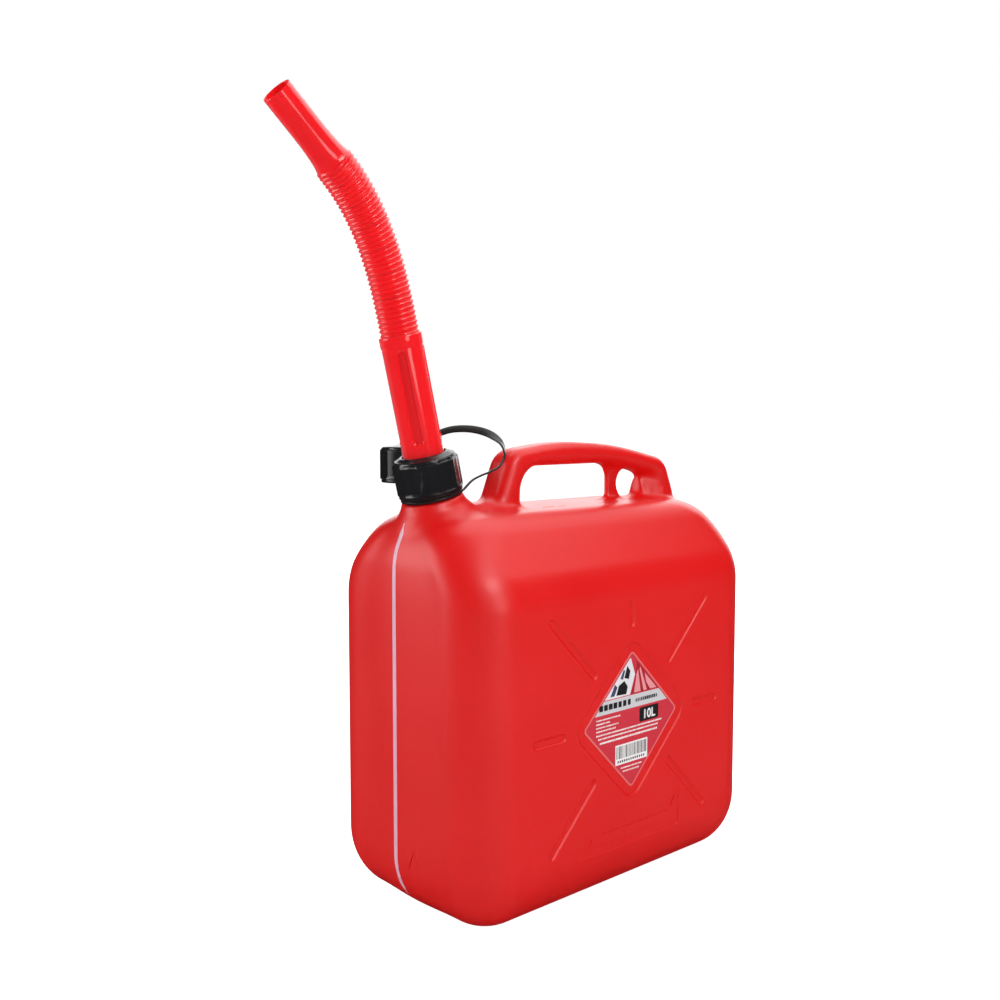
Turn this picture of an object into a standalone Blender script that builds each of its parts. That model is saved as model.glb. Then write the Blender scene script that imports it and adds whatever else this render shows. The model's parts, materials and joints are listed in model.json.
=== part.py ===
"""A 10 litre jerry can with a flexible pouring spout, in metres, +Z up.

The can stands on z = 0 with the middle of its base at the origin. Its length runs along X, and the
neck and the spout are at the -X end. The neck, the collar and the spout share one leaning axis.
"""

import bpy
import bmesh
from math import cos, pi, radians, sin, sqrt, tan
from mathutils import Matrix, Vector

MM = 0.001
GAP = 0.3 * MM

# Can body
HALF_LENGTH = 140 * MM
HALF_WIDTH = 80.5 * MM
CORNER = 36 * MM
BASE_FILLET_IN = 34 * MM
BASE_FILLET_UP = 43 * MM
DECK_Z = 266.3 * MM
DECK_HALF_WIDTH = 31 * MM
DECK_HALF_LENGTH = 114 * MM
SHOULDER_Z = 208 * MM
SHOULDER_SLOPE = radians(40)
SHOULDER_LOW_RADIUS = 40 * MM
SHOULDER_TOP_RADIUS = 31 * MM
END_SHOULDER_Z = 232 * MM
END_CROWN = 2.6 * MM
WALL = 2.2 * MM
RECESS_DEPTH = 1.2 * MM

# Sight stripe down the front end
STRIPE_LOW = 6 * MM
STRIPE_HIGH = 262 * MM

# Side panels: a diamond for the label, with grooves round it
DIAMOND_Z = 123 * MM
DIAMOND_HALF = 48 * MM
DIAMOND_RIM = 8 * MM
GROOVE_RADIUS = 3.2 * MM
GROOVE_DEPTH = 0.9 * MM

# Where the shell, moulded in one, is divided into nodes
BASE_CUT_Z = 46 * MM
TOP_CUT_Z = 206 * MM
HANDLE_CUT_X = -80 * MM
HANDLE_CUT_Z = 272.5 * MM
NECK_CUT_RADIUS = 30 * MM
NECK_CUT_LOW = -30 * MM

# Neck, collar and cap: distances along the neck's axis from the collar's lower edge
NECK_FOOT = Vector((-111.3 * MM, 0, 280 * MM))
NECK_LEAN = radians(13.5)
NECK_ROOT = 18 * MM
NECK_BORE = 15.2 * MM
NECK_LIP = 17.6 * MM
BOSS_RADIUS = 20.8 * MM
BOSS_TOP = -3 * MM
THREAD_PITCH = 6 * MM
THREAD_HEIGHT = 1.2 * MM
COLLAR_RADIUS = 22 * MM
COLLAR_BORE = 19.6 * MM
COLLAR_HEIGHT = 25 * MM
FLUTES = 10
FLUTE_DEPTH = 0.9 * MM
GASKET = 1.5 * MM
FLANGE = 2 * MM

# Spout
TUBE_RADIUS = 13.8 * MM
TUBE_BORE = 11.5 * MM
TUBE_TOP = 106 * MM
BELLOWS_CREST = 13 * MM
BELLOWS_ROOT = 11.2 * MM
BELLOWS_BORE = 10 * MM
BELLOWS_LENGTH = 110 * MM
BELLOWS_PIECES = 7
RINGS_PER_PIECE = 4
BELLOWS_SLIT = 0.8 * MM
SPOUT_BEND = radians(34)
BEND_POWER = 1.78
NOZZLE_LENGTH = 55.6 * MM
NOZZLE_RADIUS = 9.6 * MM
NOZZLE_BORE = 8.6 * MM

# Handle: a hollow bar of this half width, moulded in one with the can
HANDLE_HALF_WIDTH = 13.5 * MM
HANDLE_ROUNDING = 8 * MM
WEB_HALF_WIDTH = 1.7 * MM

# Tether and cap
CAP_FOOT = Vector((-93.4 * MM, 44.2 * MM, 284.4 * MM))
TETHER_RADIUS = 20.8 * MM
STRAP_WIDTH = 6 * MM
STRAP_THICK = 1.4 * MM
EYELET_INNER = 3.6 * MM
EYELET_OUTER = 6.8 * MM
EYELET_THICK = 1.6 * MM
CAP_DOME = 2 * MM

SIDES = 40


def material(name, colour, roughness):
    mat = bpy.data.materials.new(name)
    mat.use_nodes = True
    shader = mat.node_tree.nodes["Principled BSDF"]
    shader.inputs["Base Color"].default_value = (*colour, 1)
    shader.inputs["Roughness"].default_value = roughness
    shader.inputs["Metallic"].default_value = 0
    mat.diffuse_color = (*colour, 1)
    return mat


def add_object(name, bm, mat=None):
    """A linked object from a bmesh, its faces turned outwards. Without a material it is a hidden helper."""
    bmesh.ops.remove_doubles(bm, verts=bm.verts, dist=1e-6)
    bmesh.ops.recalc_face_normals(bm, faces=bm.faces)
    mesh = bpy.data.meshes.new(name)
    bm.to_mesh(mesh)
    bm.free()
    obj = bpy.data.objects.new(name, mesh)
    bpy.context.scene.collection.objects.link(obj)
    if mat is None:
        obj.hide_render = True
        obj.display_type = "WIRE"
    else:
        mesh.materials.append(mat)
        mesh.shade_smooth()
        mesh.set_sharp_from_angle(angle=radians(32))
    return obj


def boolean(obj, other, operation):
    modifier = obj.modifiers.new(operation.title(), "BOOLEAN")
    modifier.operation = operation
    modifier.object = other
    modifier.solver = "EXACT"


def skin_rings(rings, closed_profile):
    """A bmesh over rings of equal length: a tube closed on itself, or one with an n-gon at each end."""
    bm = bmesh.new()
    made = [[bm.verts.new(point) for point in ring] for ring in rings]
    count = len(made[0])
    last = len(made) if closed_profile else len(made) - 1
    for i in range(last):
        low = made[i]
        high = made[(i + 1) % len(made)]
        for j in range(count):
            k = (j + 1) % count
            bm.faces.new((low[j], low[k], high[k], high[j]))
    if not closed_profile:
        bm.faces.new(made[0])
        bm.faces.new(made[-1])
    return bm


def turned(profile, sides=SIDES, radius_at=None):
    """The bmesh of a closed (radius, height) profile turned about Z. radius_at can flute its outside."""
    rings = []
    for radius, height in profile:
        ring = []
        for step in range(sides):
            angle = 2 * pi * step / sides
            reach = radius_at(radius, angle) if radius_at else radius
            ring.append(Vector((reach * cos(angle), reach * sin(angle), height)))
        rings.append(ring)
    if min(radius for radius, _ in profile) > 0:
        return skin_rings(rings, True)
    return skin_poles(rings)


def skin_poles(rings):
    """Like skin_rings, for a profile that starts and ends on the axis."""
    bm = bmesh.new()
    count = len(rings[0])
    first = bm.verts.new(rings[0][0])
    last = bm.verts.new(rings[-1][0])
    made = [[bm.verts.new(point) for point in ring] for ring in rings[1:-1]]
    for j in range(count):
        k = (j + 1) % count
        bm.faces.new((first, made[0][k], made[0][j]))
        bm.faces.new((last, made[-1][j], made[-1][k]))
        for low, high in zip(made, made[1:]):
            bm.faces.new((low[j], low[k], high[k], high[j]))
    return bm


def thread(radius, height, start, turns, inward=False):
    """A helical ridge that stands on a cylinder, its ends sunk a little into it."""
    steps = round(turns * 24)
    side = -1 if inward else 1
    root = radius - side * 0.5 * MM
    crest = radius + side * height
    rings = []
    for step in range(steps + 1):
        angle = 2 * pi * step / 24
        rise = start + THREAD_PITCH * step / 24
        section = (
            (root, -1.3 * MM),
            (crest, -0.5 * MM),
            (crest, 0.5 * MM),
            (root, 1.3 * MM),
        )
        rings.append(
            [Vector((r * cos(angle), r * sin(angle), rise + h)) for r, h in section]
        )
    return skin_rings(rings, False)


def corners_rounded(corners, steps=6):
    """The points of a closed outline of (x, z, radius) corners, each corner an arc."""
    points = []
    for i, (x, z, radius) in enumerate(corners):
        here = Vector((x, z))
        before = (Vector(corners[i - 1][:2]) - here).normalized()
        after = (Vector(corners[(i + 1) % len(corners)][:2]) - here).normalized()
        if radius <= 0:
            points.append(here)
            continue
        half = before.angle(after) / 2
        centre = here + (before + after).normalized() * radius / sin(half)
        start = here + before * radius / tan(half) - centre
        end = here + after * radius / tan(half) - centre
        sweep = start.angle_signed(end)
        for step in range(steps + 1):
            turn = Matrix.Rotation(-sweep * step / steps, 2)
            points.append(centre + turn @ start)
    return points


def corners_inset(corners, inset):
    """The same outline moved inwards. Its corners run anticlockwise in (x, z)."""
    moved = []
    for i, (x, z, radius) in enumerate(corners):
        here = Vector((x, z))
        into = (here - Vector(corners[i - 1][:2])).normalized()
        out = (Vector(corners[(i + 1) % len(corners)][:2]) - here).normalized()
        left_in = Vector((-into.y, into.x))
        left_out = Vector((-out.y, out.x))
        shift = (left_in + left_out) * inset / (1 + left_in.dot(left_out))
        turns_left = into.x * out.y - into.y * out.x > 0
        rounding = radius - inset if turns_left else radius + inset
        moved.append((x + shift.x, z + shift.y, max(rounding, 0.5 * MM) if radius else 0))
    return moved


def plate(name, corners, half_width, rounding, steps=6):
    """A hidden plate across Y with this outline in X and Z, its edges rounded."""
    outline = corners_rounded(corners, steps)
    near = [Vector((p.x, -half_width, p.y)) for p in outline]
    far = [Vector((p.x, half_width, p.y)) for p in outline]
    obj = add_object(name, skin_rings([near, far], False))
    if rounding:
        bevel = obj.modifiers.new("Rounding", "BEVEL")
        bevel.width = rounding
        bevel.segments = 3
        bevel.limit_method = "ANGLE"
        bevel.angle_limit = radians(50)
    return obj


# Can shell


def body_ring(half_length, half_width, corner, crown, height):
    """One level of the can: a rectangle with round corners and slightly bowed ends."""
    points = []
    flat = half_width - corner
    for side in (1, -1):
        for quarter in (0, 1):
            for step in range(8):
                angle = pi / 2 * (step / 7 + quarter)
                x = side * (half_length - corner) * (1 - 2 * quarter)
                y = side * flat
                x += side * corner * cos(angle)
                y += side * corner * sin(angle)
                points.append(Vector((x, y, height)))
        for share in (-0.5, 0, 0.5):
            bow = crown * cos(pi / 2 * share) ** 2
            points.append(Vector((-side * (half_length + bow), -side * share * flat, height)))
    return points


def body_levels(inset):
    """(half length, half width, corner, height) from the base up, for the skin moved in by inset."""
    levels = []
    for step in range(8):
        angle = pi / 2 * step / 7
        back = inset + (BASE_FILLET_IN - inset) * (1 - sin(angle))
        corner = CORNER - inset - (back - inset) * 0.85
        height = BASE_FILLET_UP - (BASE_FILLET_UP - inset) * cos(angle)
        levels.append((HALF_LENGTH - back, HALF_WIDTH - back, corner, height))
    low = SHOULDER_LOW_RADIUS
    top = SHOULDER_TOP_RADIUS
    shoulder = [
        (HALF_WIDTH - low + (low - inset) * cos(a), SHOULDER_Z + (low - inset) * sin(a))
        for a in (SHOULDER_SLOPE * step / 5 for step in range(6))
    ]
    rest = pi / 2 - SHOULDER_SLOPE
    shoulder += [
        (DECK_HALF_WIDTH + (top - inset) * cos(a), DECK_Z - top + (top - inset) * sin(a))
        for a in (SHOULDER_SLOPE + rest * step / 5 for step in range(6))
    ]
    end_depth = HALF_LENGTH - DECK_HALF_LENGTH - inset
    end_height = DECK_Z - END_SHOULDER_Z - inset
    for half_width, height in shoulder:
        rise = min(max((height - END_SHOULDER_Z) / end_height, 0), 1)
        half_length = DECK_HALF_LENGTH + end_depth * sqrt(1 - rise * rise)
        corner = min(CORNER - inset, half_width - 1.5 * MM)
        levels.append((half_length, half_width, corner, height))
    return levels


def body_form(name, inset):
    rings = []
    for half_length, half_width, corner, height in body_levels(inset):
        crown = end_crown(half_width)
        rings.append(body_ring(half_length, half_width, corner, crown, height))
    return add_object(name, skin_rings(rings, False))


HANDLE_OUTLINE = (
    (-88 * MM, 238 * MM, 0),
    (130 * MM, 238 * MM, 0),
    (128.5 * MM, 268 * MM, 30 * MM),
    (116.5 * MM, 296.8 * MM, 18 * MM),
    (60 * MM, 309 * MM, 90 * MM),
    (2 * MM, 312.4 * MM, 120 * MM),
    (-47.5 * MM, 306.4 * MM, 18 * MM),
    (-61.5 * MM, 271.5 * MM, 9 * MM),
    (-88 * MM, 271.5 * MM, 0),
)
HANDLE_WINDOW = (
    (-38.8 * MM, 260 * MM, 5 * MM),
    (108 * MM, 260 * MM, 5 * MM),
    (106 * MM, 284 * MM, 9 * MM),
    (58 * MM, 295.2 * MM, 60 * MM),
    (-38.8 * MM, 295.2 * MM, 18 * MM),
)
WEB_OUTLINE = (
    (46 * MM, 252 * MM, 0),
    (112 * MM, 252 * MM, 0),
    (112 * MM, 290 * MM, 0),
    (46 * MM, 300 * MM, 0),
    (44 * MM, 296 * MM, 0),
    (58.6 * MM, 295.2 * MM, 14 * MM),
    (58.6 * MM, 265.8 * MM, 7 * MM),
    (46 * MM, 265 * MM, 0),
)
WEB_HOLE = Vector((81.7 * MM, 0, 278.5 * MM))
WEB_HOLE_RADIUS = 10.4 * MM


def handle_form(name, inset):
    """The handle bar with its window cut out, moved in by inset."""
    bar = plate(
        name,
        corners_inset(HANDLE_OUTLINE, inset),
        HANDLE_HALF_WIDTH - inset,
        0,
    )
    reach = HANDLE_HALF_WIDTH * 2
    window = plate(name + "_window", corners_inset(HANDLE_WINDOW, -inset), reach, 0)
    boolean(bar, window, "DIFFERENCE")
    bevel = bar.modifiers.new("Rounding", "BEVEL")
    bevel.width = HANDLE_ROUNDING - inset
    bevel.segments = 3
    bevel.limit_method = "ANGLE"
    bevel.angle_limit = radians(50)
    return bar


def web_form():
    """The pinched web behind the grip, with its round hole."""
    web = plate("web_form", WEB_OUTLINE, WEB_HALF_WIDTH, 0)
    profile = (
        (0, -10 * MM),
        (WEB_HOLE_RADIUS, -10 * MM),
        (WEB_HOLE_RADIUS, 10 * MM),
        (0, 10 * MM),
    )
    hole = add_object("web_hole", turned(profile, 24))
    hole.matrix_world = Matrix.Translation(WEB_HOLE) @ Matrix.Rotation(pi / 2, 4, "X")
    boolean(web, hole, "DIFFERENCE")
    return web


def neck_form(axis):
    outside = (
        (0, -44 * MM),
        (34 * MM, -44 * MM),
        (34 * MM, -27 * MM),
        (30 * MM, -19 * MM),
        (25.4 * MM, -12 * MM),
        (22.2 * MM, -8 * MM),
        (BOSS_RADIUS, -5.4 * MM),
        (BOSS_RADIUS, BOSS_TOP),
        (NECK_ROOT, BOSS_TOP),
        (NECK_ROOT, NECK_LIP),
        (0, NECK_LIP),
    )
    neck = add_object("neck_form", turned(outside))
    neck.parent = axis
    ridge = add_object("neck_thread", thread(NECK_ROOT, THREAD_HEIGHT, 3.4 * MM, 1.75))
    ridge.parent = axis
    boolean(neck, ridge, "UNION")
    inside = (
        (0, -48 * MM),
        (31.5 * MM, -48 * MM),
        (31.5 * MM, -28 * MM),
        (27.6 * MM, -20 * MM),
        (22.4 * MM, -12.6 * MM),
        (18.4 * MM, -8 * MM),
        (NECK_BORE, -5 * MM),
        (NECK_BORE, 22 * MM),
        (0, 22 * MM),
    )
    bore = add_object("neck_bore", turned(inside))
    bore.parent = axis
    return neck, bore


def side_cutter(name, outline_low, outline_high, side):
    """A hidden cutter from outside a side wall in to RECESS_DEPTH or less, its rim wider than its floor."""
    out = side * (HALF_WIDTH + 2 * MM)
    near = [Vector((x, out, z)) for x, z in outline_high]
    deep = [Vector((x, y, z)) for x, y, z in outline_low]
    return add_object(name, skin_rings([near, deep], False))


def diamond_points(half, rounding):
    corners = [
        (half, DIAMOND_Z, rounding),
        (0, DIAMOND_Z + half, rounding),
        (-half, DIAMOND_Z, rounding),
        (0, DIAMOND_Z - half, rounding),
    ]
    return [(p.x, p.y) for p in corners_rounded(corners, 3)]


def capsule(start, end, radius):
    """The outline of a slot with round ends between two (x, z) points."""
    start = Vector(start)
    end = Vector(end)
    along = (end - start).normalized()
    across = Vector((-along.y, along.x))
    points = []
    for centre, turn in ((end, -pi / 2), (start, pi / 2)):
        for step in range(6):
            angle = turn + pi * step / 5
            p = centre + (along * cos(angle) + across * sin(angle)) * radius
            points.append((p.x, p.y))
    return points


def groove_ends():
    """Start and end of the seven grooves of a side: four slanting, two level, one upright."""
    near = 37.8 * MM
    far = 77 * MM
    for x in (-1, 1):
        for z in (-1, 1):
            start = Vector((x * near, DIAMOND_Z + z * 36 * MM))
            end = Vector((x * far, DIAMOND_Z + z * 76 * MM))
            yield start, end
        yield (
            Vector((x * 67 * MM, DIAMOND_Z)),
            Vector((x * 92 * MM, DIAMOND_Z)),
        )
    yield Vector((0, DIAMOND_Z + 64 * MM)), Vector((0, DIAMOND_Z + 82 * MM))


def cut_side_panels(shell):
    floor = HALF_WIDTH - RECESS_DEPTH
    groove_floor = HALF_WIDTH - GROOVE_DEPTH
    for side in (-1, 1):
        tag = "near" if side < 0 else "far"
        rim = diamond_points(DIAMOND_HALF + DIAMOND_RIM + 2 * MM, 12 * MM)
        low = [(x, side * floor, z) for x, z in diamond_points(DIAMOND_HALF + 2 * MM, 8 * MM)]
        boolean(shell, side_cutter("diamond_" + tag, low, rim, side), "DIFFERENCE")
        for i, (start, end) in enumerate(groove_ends()):
            top = capsule(start, end, GROOVE_RADIUS + 1.4 * MM)
            foot = capsule(start, end, GROOVE_RADIUS - 0.9 * MM)
            low = [(x, side * groove_floor, z) for x, z in foot]
            cutter = side_cutter(f"groove_{tag}_{i}", low, top, side)
            boolean(shell, cutter, "DIFFERENCE")


def cut_base(shell):
    """Two shallow pans in the base leave a flat foot round them and a flat bar across the middle."""
    for x in (-1, 1):
        corners = (
            (x * 52 * MM - 34 * MM, -26 * MM, 10 * MM),
            (x * 52 * MM + 34 * MM, -26 * MM, 10 * MM),
            (x * 52 * MM + 34 * MM, 26 * MM, 10 * MM),
            (x * 52 * MM - 34 * MM, 26 * MM, 10 * MM),
        )
        outline = corners_rounded(corners, 3)
        low = [Vector((p.x, p.y, -2 * MM)) for p in outline]
        high = [Vector((p.x * 0.98 + x * MM, p.y * 0.95, 1 * MM)) for p in outline]
        boolean(shell, add_object(f"pan_{x}", skin_rings([low, high], False)), "DIFFERENCE")


def cut_stripe_groove(shell):
    groove = stripe_form("stripe_groove", None, 3 * MM, 0.9 * MM, -3 * MM, 1.2 * MM)
    boolean(shell, groove, "DIFFERENCE")


def shell_form(axis):
    """The whole blown shell with its handle, web and neck, hollow and open at the neck."""
    shell = body_form("shell_form", 0)
    neck, bore = neck_form(axis)
    boolean(shell, handle_form("handle_form", 0), "UNION")
    boolean(shell, web_form(), "UNION")
    boolean(shell, neck, "UNION")
    hollow = body_form("hollow_form", WALL)
    boolean(hollow, handle_form("handle_hollow", WALL), "UNION")
    boolean(hollow, bore, "UNION")
    boolean(shell, hollow, "DIFFERENCE")
    cut_side_panels(shell)
    cut_base(shell)
    cut_stripe_groove(shell)
    return shell


def block(name, low, high, room, mat=None):
    """A box between two corners, made larger by room on every side."""
    bm = bmesh.new()
    bmesh.ops.create_cube(bm, size=1)
    for v in bm.verts:
        for i in range(3):
            v.co[i] = high[i] + room if v.co[i] > 0 else low[i] - room
    return add_object(name, bm, mat)


def neck_room(name, room, axis, mat=None):
    """A cylinder round the neck and most of its flare, made larger by room."""
    low = NECK_CUT_LOW - room
    radius = NECK_CUT_RADIUS + room
    high = NECK_LIP + 8 * MM
    obj = add_object(name, turned(((0, low), (radius, low), (radius, high), (0, high))), mat)
    obj.parent = axis
    return obj


def can_shell(mat, axis):
    """The shell in five nodes, cut where it is simplest, so that each can be hulled and stays hollow."""
    whole = shell_form(axis)
    far = 0.2
    handle_low = (HANDLE_CUT_X, -far, HANDLE_CUT_Z)
    handle_high = (far, far, 2 * far)
    nodes = (
        block("can_base", (-far, -far, -far), (far, far, BASE_CUT_Z - GAP), 0, mat),
        block("can_sides", (-far, -far, BASE_CUT_Z), (far, far, TOP_CUT_Z - GAP), 0, mat),
        block("can_top", (-far, -far, TOP_CUT_Z), (far, far, 2 * far), 0, mat),
        block("can_handle", handle_low, handle_high, 0, mat),
        neck_room("can_neck", 0, axis, mat),
    )
    for node in nodes:
        boolean(node, whole, "INTERSECT")
    top = nodes[2]
    boolean(top, block("handle_room", handle_low, handle_high, GAP), "DIFFERENCE")
    boolean(top, neck_room("neck_room", GAP, axis), "DIFFERENCE")


def end_crown(half_width):
    return END_CROWN * min(1, half_width / HALF_WIDTH)


def front_profile():
    """(x, z) down the middle of the front end, from under the neck to the base fillet."""
    points = []
    for half_length, half_width, _, height in reversed(body_levels(0)):
        if STRIPE_LOW < height < STRIPE_HIGH:
            points.append((-half_length - end_crown(half_width), height))
    return points


def stripe_form(name, mat, half_width, depth, proud, end_room):
    """A strip that follows the front end from depth inside its surface to -proud outside it."""
    line = [Vector(p) for p in front_profile()]
    rings = []
    for i, point in enumerate(line):
        before = line[max(i - 1, 0)]
        after = line[min(i + 1, len(line) - 1)]
        along = (after - before).normalized()
        inward = Vector((-along.y, along.x))
        if i in (0, len(line) - 1):
            point = point + along * (end_room if i else -end_room)
        inner = point + inward * depth
        outer = point + inward * proud
        rings.append(
            [
                Vector((outer.x, -half_width, outer.y)),
                Vector((outer.x, half_width, outer.y)),
                Vector((inner.x, half_width, inner.y)),
                Vector((inner.x, -half_width, inner.y)),
            ]
        )
    return add_object(name, skin_rings(rings, False), mat)


def label(mat):
    outline = diamond_points(DIAMOND_HALF, 3 * MM)
    back = -(HALF_WIDTH - RECESS_DEPTH) - GAP
    low = [Vector((x, back, z)) for x, z in outline]
    high = [Vector((x, back - 0.4 * MM, z)) for x, z in outline]
    return add_object("side_label", skin_rings([low, high], False), mat)


# Neck closure


def fluted(radius, angle):
    """Wide shallow scallops round the outside of the collar and the cap."""
    if radius < COLLAR_BORE + 1 * MM:
        return radius
    wave = abs(sin(FLUTES * angle / 2))
    return radius - FLUTE_DEPTH * wave**0.6


def collar(mat, axis):
    edge = 2.2 * MM
    profile = (
        (COLLAR_BORE + 0.6 * MM, 0),
        (COLLAR_RADIUS - 0.7 * MM, 0),
        (COLLAR_RADIUS - 0.7 * MM, 2.4 * MM),
        (COLLAR_RADIUS, 3 * MM),
        (COLLAR_RADIUS, COLLAR_HEIGHT - edge),
        (COLLAR_RADIUS - 0.3 * edge, COLLAR_HEIGHT - 0.3 * edge),
        (COLLAR_RADIUS - edge, COLLAR_HEIGHT),
        (TUBE_RADIUS + 0.8 * MM, COLLAR_HEIGHT + 2 * MM),
        (TUBE_RADIUS + 0.8 * MM, COLLAR_HEIGHT - 3 * MM),
        (COLLAR_BORE, COLLAR_HEIGHT - 3 * MM),
        (COLLAR_BORE, 1 * MM),
    )
    obj = add_object("collar_nut", turned(profile, 60, fluted), mat)
    obj.parent = axis
    start = 3.4 * MM + THREAD_PITCH / 2
    ridge = add_object("collar_thread", thread(COLLAR_BORE, THREAD_HEIGHT, start, 1.4, True))
    ridge.parent = axis
    boolean(obj, ridge, "UNION")
    return obj


def gasket(mat, axis):
    low = NECK_LIP + GAP
    profile = (
        (NECK_BORE + 0.2 * MM, low),
        (NECK_ROOT - 0.2 * MM, low),
        (NECK_ROOT - 0.2 * MM, low + GASKET),
        (NECK_BORE + 0.2 * MM, low + GASKET),
    )
    obj = add_object("neck_gasket", turned(profile, 32), mat)
    obj.parent = axis
    return obj


def screw_cap(mat):
    """The storage cap, hanging open end down. Its origin is in the middle of its lower edge."""
    edge = 2.4 * MM
    top = COLLAR_HEIGHT
    stud = 2.9 * MM
    head = 4.4 * MM
    seat = top + CAP_DOME
    head_low = seat + EYELET_THICK + 0.8 * MM
    profile = (
        (0, top - 2.6 * MM),
        (COLLAR_BORE, top - 2.6 * MM),
        (COLLAR_BORE, 1 * MM),
        (COLLAR_BORE + 0.6 * MM, 0),
        (COLLAR_RADIUS - 0.9 * MM, 0),
        (COLLAR_RADIUS - 0.9 * MM, 2.4 * MM),
        (COLLAR_RADIUS, 3 * MM),
        (COLLAR_RADIUS, top - edge),
        (COLLAR_RADIUS - 0.3 * edge, top - 0.3 * edge),
        (COLLAR_RADIUS - edge, top),
        (EYELET_OUTER + 2 * MM, seat),
        (stud, seat),
        (stud, head_low),
        (head, head_low),
        (head - 0.6 * MM, head_low + 1.4 * MM),
        (0, head_low + 1.4 * MM),
    )
    obj = add_object("screw_cap", turned(profile, 60, fluted), mat)
    obj.location = CAP_FOOT
    ridge = add_object("cap_thread", thread(COLLAR_BORE, THREAD_HEIGHT, 6.4 * MM, 1.2, True))
    ridge.location = CAP_FOOT
    boolean(obj, ridge, "UNION")
    return obj


def cap_seal(mat):
    high = COLLAR_HEIGHT - 2.6 * MM - GAP
    profile = ((0, high - GASKET), (NECK_ROOT, high - GASKET), (NECK_ROOT, high), (0, high))
    obj = add_object("cap_seal", turned(profile, 32), mat)
    obj.location = CAP_FOOT
    return obj


# Spout


def spout_tube(mat, axis):
    """The stiff lower tube, with the flange that the collar clamps and a lip under the bellows."""
    foot = NECK_LIP + GAP + GASKET + GAP
    flange = foot + FLANGE
    profile = (
        (TUBE_BORE, foot),
        (NECK_ROOT + 0.8 * MM, foot),
        (NECK_ROOT + 0.8 * MM, flange),
        (TUBE_RADIUS, flange + 0.2 * MM),
        (TUBE_RADIUS, TUBE_TOP - 9 * MM),
        (TUBE_RADIUS + 0.4 * MM, TUBE_TOP - 6 * MM),
        (TUBE_RADIUS + 0.4 * MM, TUBE_TOP - 2 * MM),
        (BELLOWS_CREST - 0.5 * MM, TUBE_TOP - GAP),
        (BELLOWS_BORE, TUBE_TOP - GAP),
        (BELLOWS_BORE, TUBE_TOP - 9 * MM),
        (TUBE_BORE, TUBE_TOP - 12 * MM),
    )
    obj = add_object("spout_tube", turned(profile, 32), mat)
    obj.parent = axis
    for turn in range(4):
        boolean(obj, tube_flute(turn, axis), "DIFFERENCE")
    return obj


def tube_flute(turn, axis):
    """One long shallow slot down the tube, cut 1.1 mm deep."""
    depth = TUBE_RADIUS - 1.1 * MM
    outline = capsule((0, 34 * MM), (0, TUBE_TOP - 16 * MM), 4 * MM)
    low = [Vector((depth, x, z)) for x, z in outline]
    high = [Vector((TUBE_RADIUS + 3 * MM, x, z)) for x, z in outline]
    cutter = add_object(f"tube_flute_{turn}", skin_rings([low, high], False))
    cutter.parent = axis
    cutter.rotation_euler.z = pi / 2 * turn + pi / 4
    return cutter


def bellows_piece(number, mat, parent, place):
    """A few corrugations of the bellows, its origin in the middle of its lower end."""
    length = BELLOWS_LENGTH / BELLOWS_PIECES
    pitch = length / RINGS_PER_PIECE
    profile = [(BELLOWS_BORE, BELLOWS_SLIT)]
    for ring in range(RINGS_PER_PIECE):
        low = ring * pitch + (BELLOWS_SLIT if ring == 0 else 0)
        profile.append((BELLOWS_ROOT, low))
        profile.append((BELLOWS_CREST, (ring + 0.5) * pitch))
    profile.append((BELLOWS_ROOT, length - BELLOWS_SLIT))
    profile.append((BELLOWS_BORE, length - BELLOWS_SLIT))
    obj = add_object(f"bellows_{number}", turned(profile, 20), mat)
    obj.parent = parent
    obj.matrix_local = place
    return obj


def spout_nozzle(mat, parent, place):
    """The stiff tip. It flares over the last corrugation and its mouth is cut square."""
    profile = (
        (BELLOWS_BORE, BELLOWS_SLIT),
        (BELLOWS_CREST - 0.4 * MM, BELLOWS_SLIT),
        (BELLOWS_CREST - 0.4 * MM, 2 * MM),
        (BELLOWS_CREST - 1.4 * MM, 4.5 * MM),
        (NOZZLE_RADIUS + 0.7 * MM, 12 * MM),
        (NOZZLE_RADIUS, 24 * MM),
        (NOZZLE_RADIUS, NOZZLE_LENGTH),
        (NOZZLE_BORE, NOZZLE_LENGTH),
        (NOZZLE_BORE, 18 * MM),
        (BELLOWS_BORE, 6 * MM),
    )
    obj = add_object("spout_nozzle", turned(profile, 28), mat)
    obj.parent = parent
    obj.matrix_local = place
    return obj


def bend_to(share):
    """How far the bellows has turned from the neck's axis at this share of its length."""
    return SPOUT_BEND * share**BEND_POWER


def flexible_spout(mat, tube):
    """The bellows and the nozzle, each parented to the piece below at the hinge between them."""
    length = BELLOWS_LENGTH / BELLOWS_PIECES
    parent = tube
    before = 0
    rise = TUBE_TOP
    for number in range(1, BELLOWS_PIECES + 1):
        turn = bend_to((number - 0.5) / BELLOWS_PIECES)
        lean = Matrix.Rotation(before - turn, 4, "Y")
        place = Matrix.Translation((0, 0, rise)) @ lean
        parent = bellows_piece(number, mat, parent, place)
        before = turn
        rise = length
    lean = Matrix.Rotation(before - SPOUT_BEND, 4, "Y")
    spout_nozzle(mat, parent, Matrix.Translation((0, 0, rise)) @ lean)


# Tether


def tether_ring(mat, axis):
    profile = (
        (NECK_ROOT + 0.4 * MM, BOSS_TOP + 0.5 * MM),
        (TETHER_RADIUS, BOSS_TOP + 0.5 * MM),
        (TETHER_RADIUS, -0.5 * MM),
        (NECK_ROOT + 0.4 * MM, -0.5 * MM),
    )
    ring = add_object("tether_ring", turned(profile), mat)
    ring.parent = axis
    return ring


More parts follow.
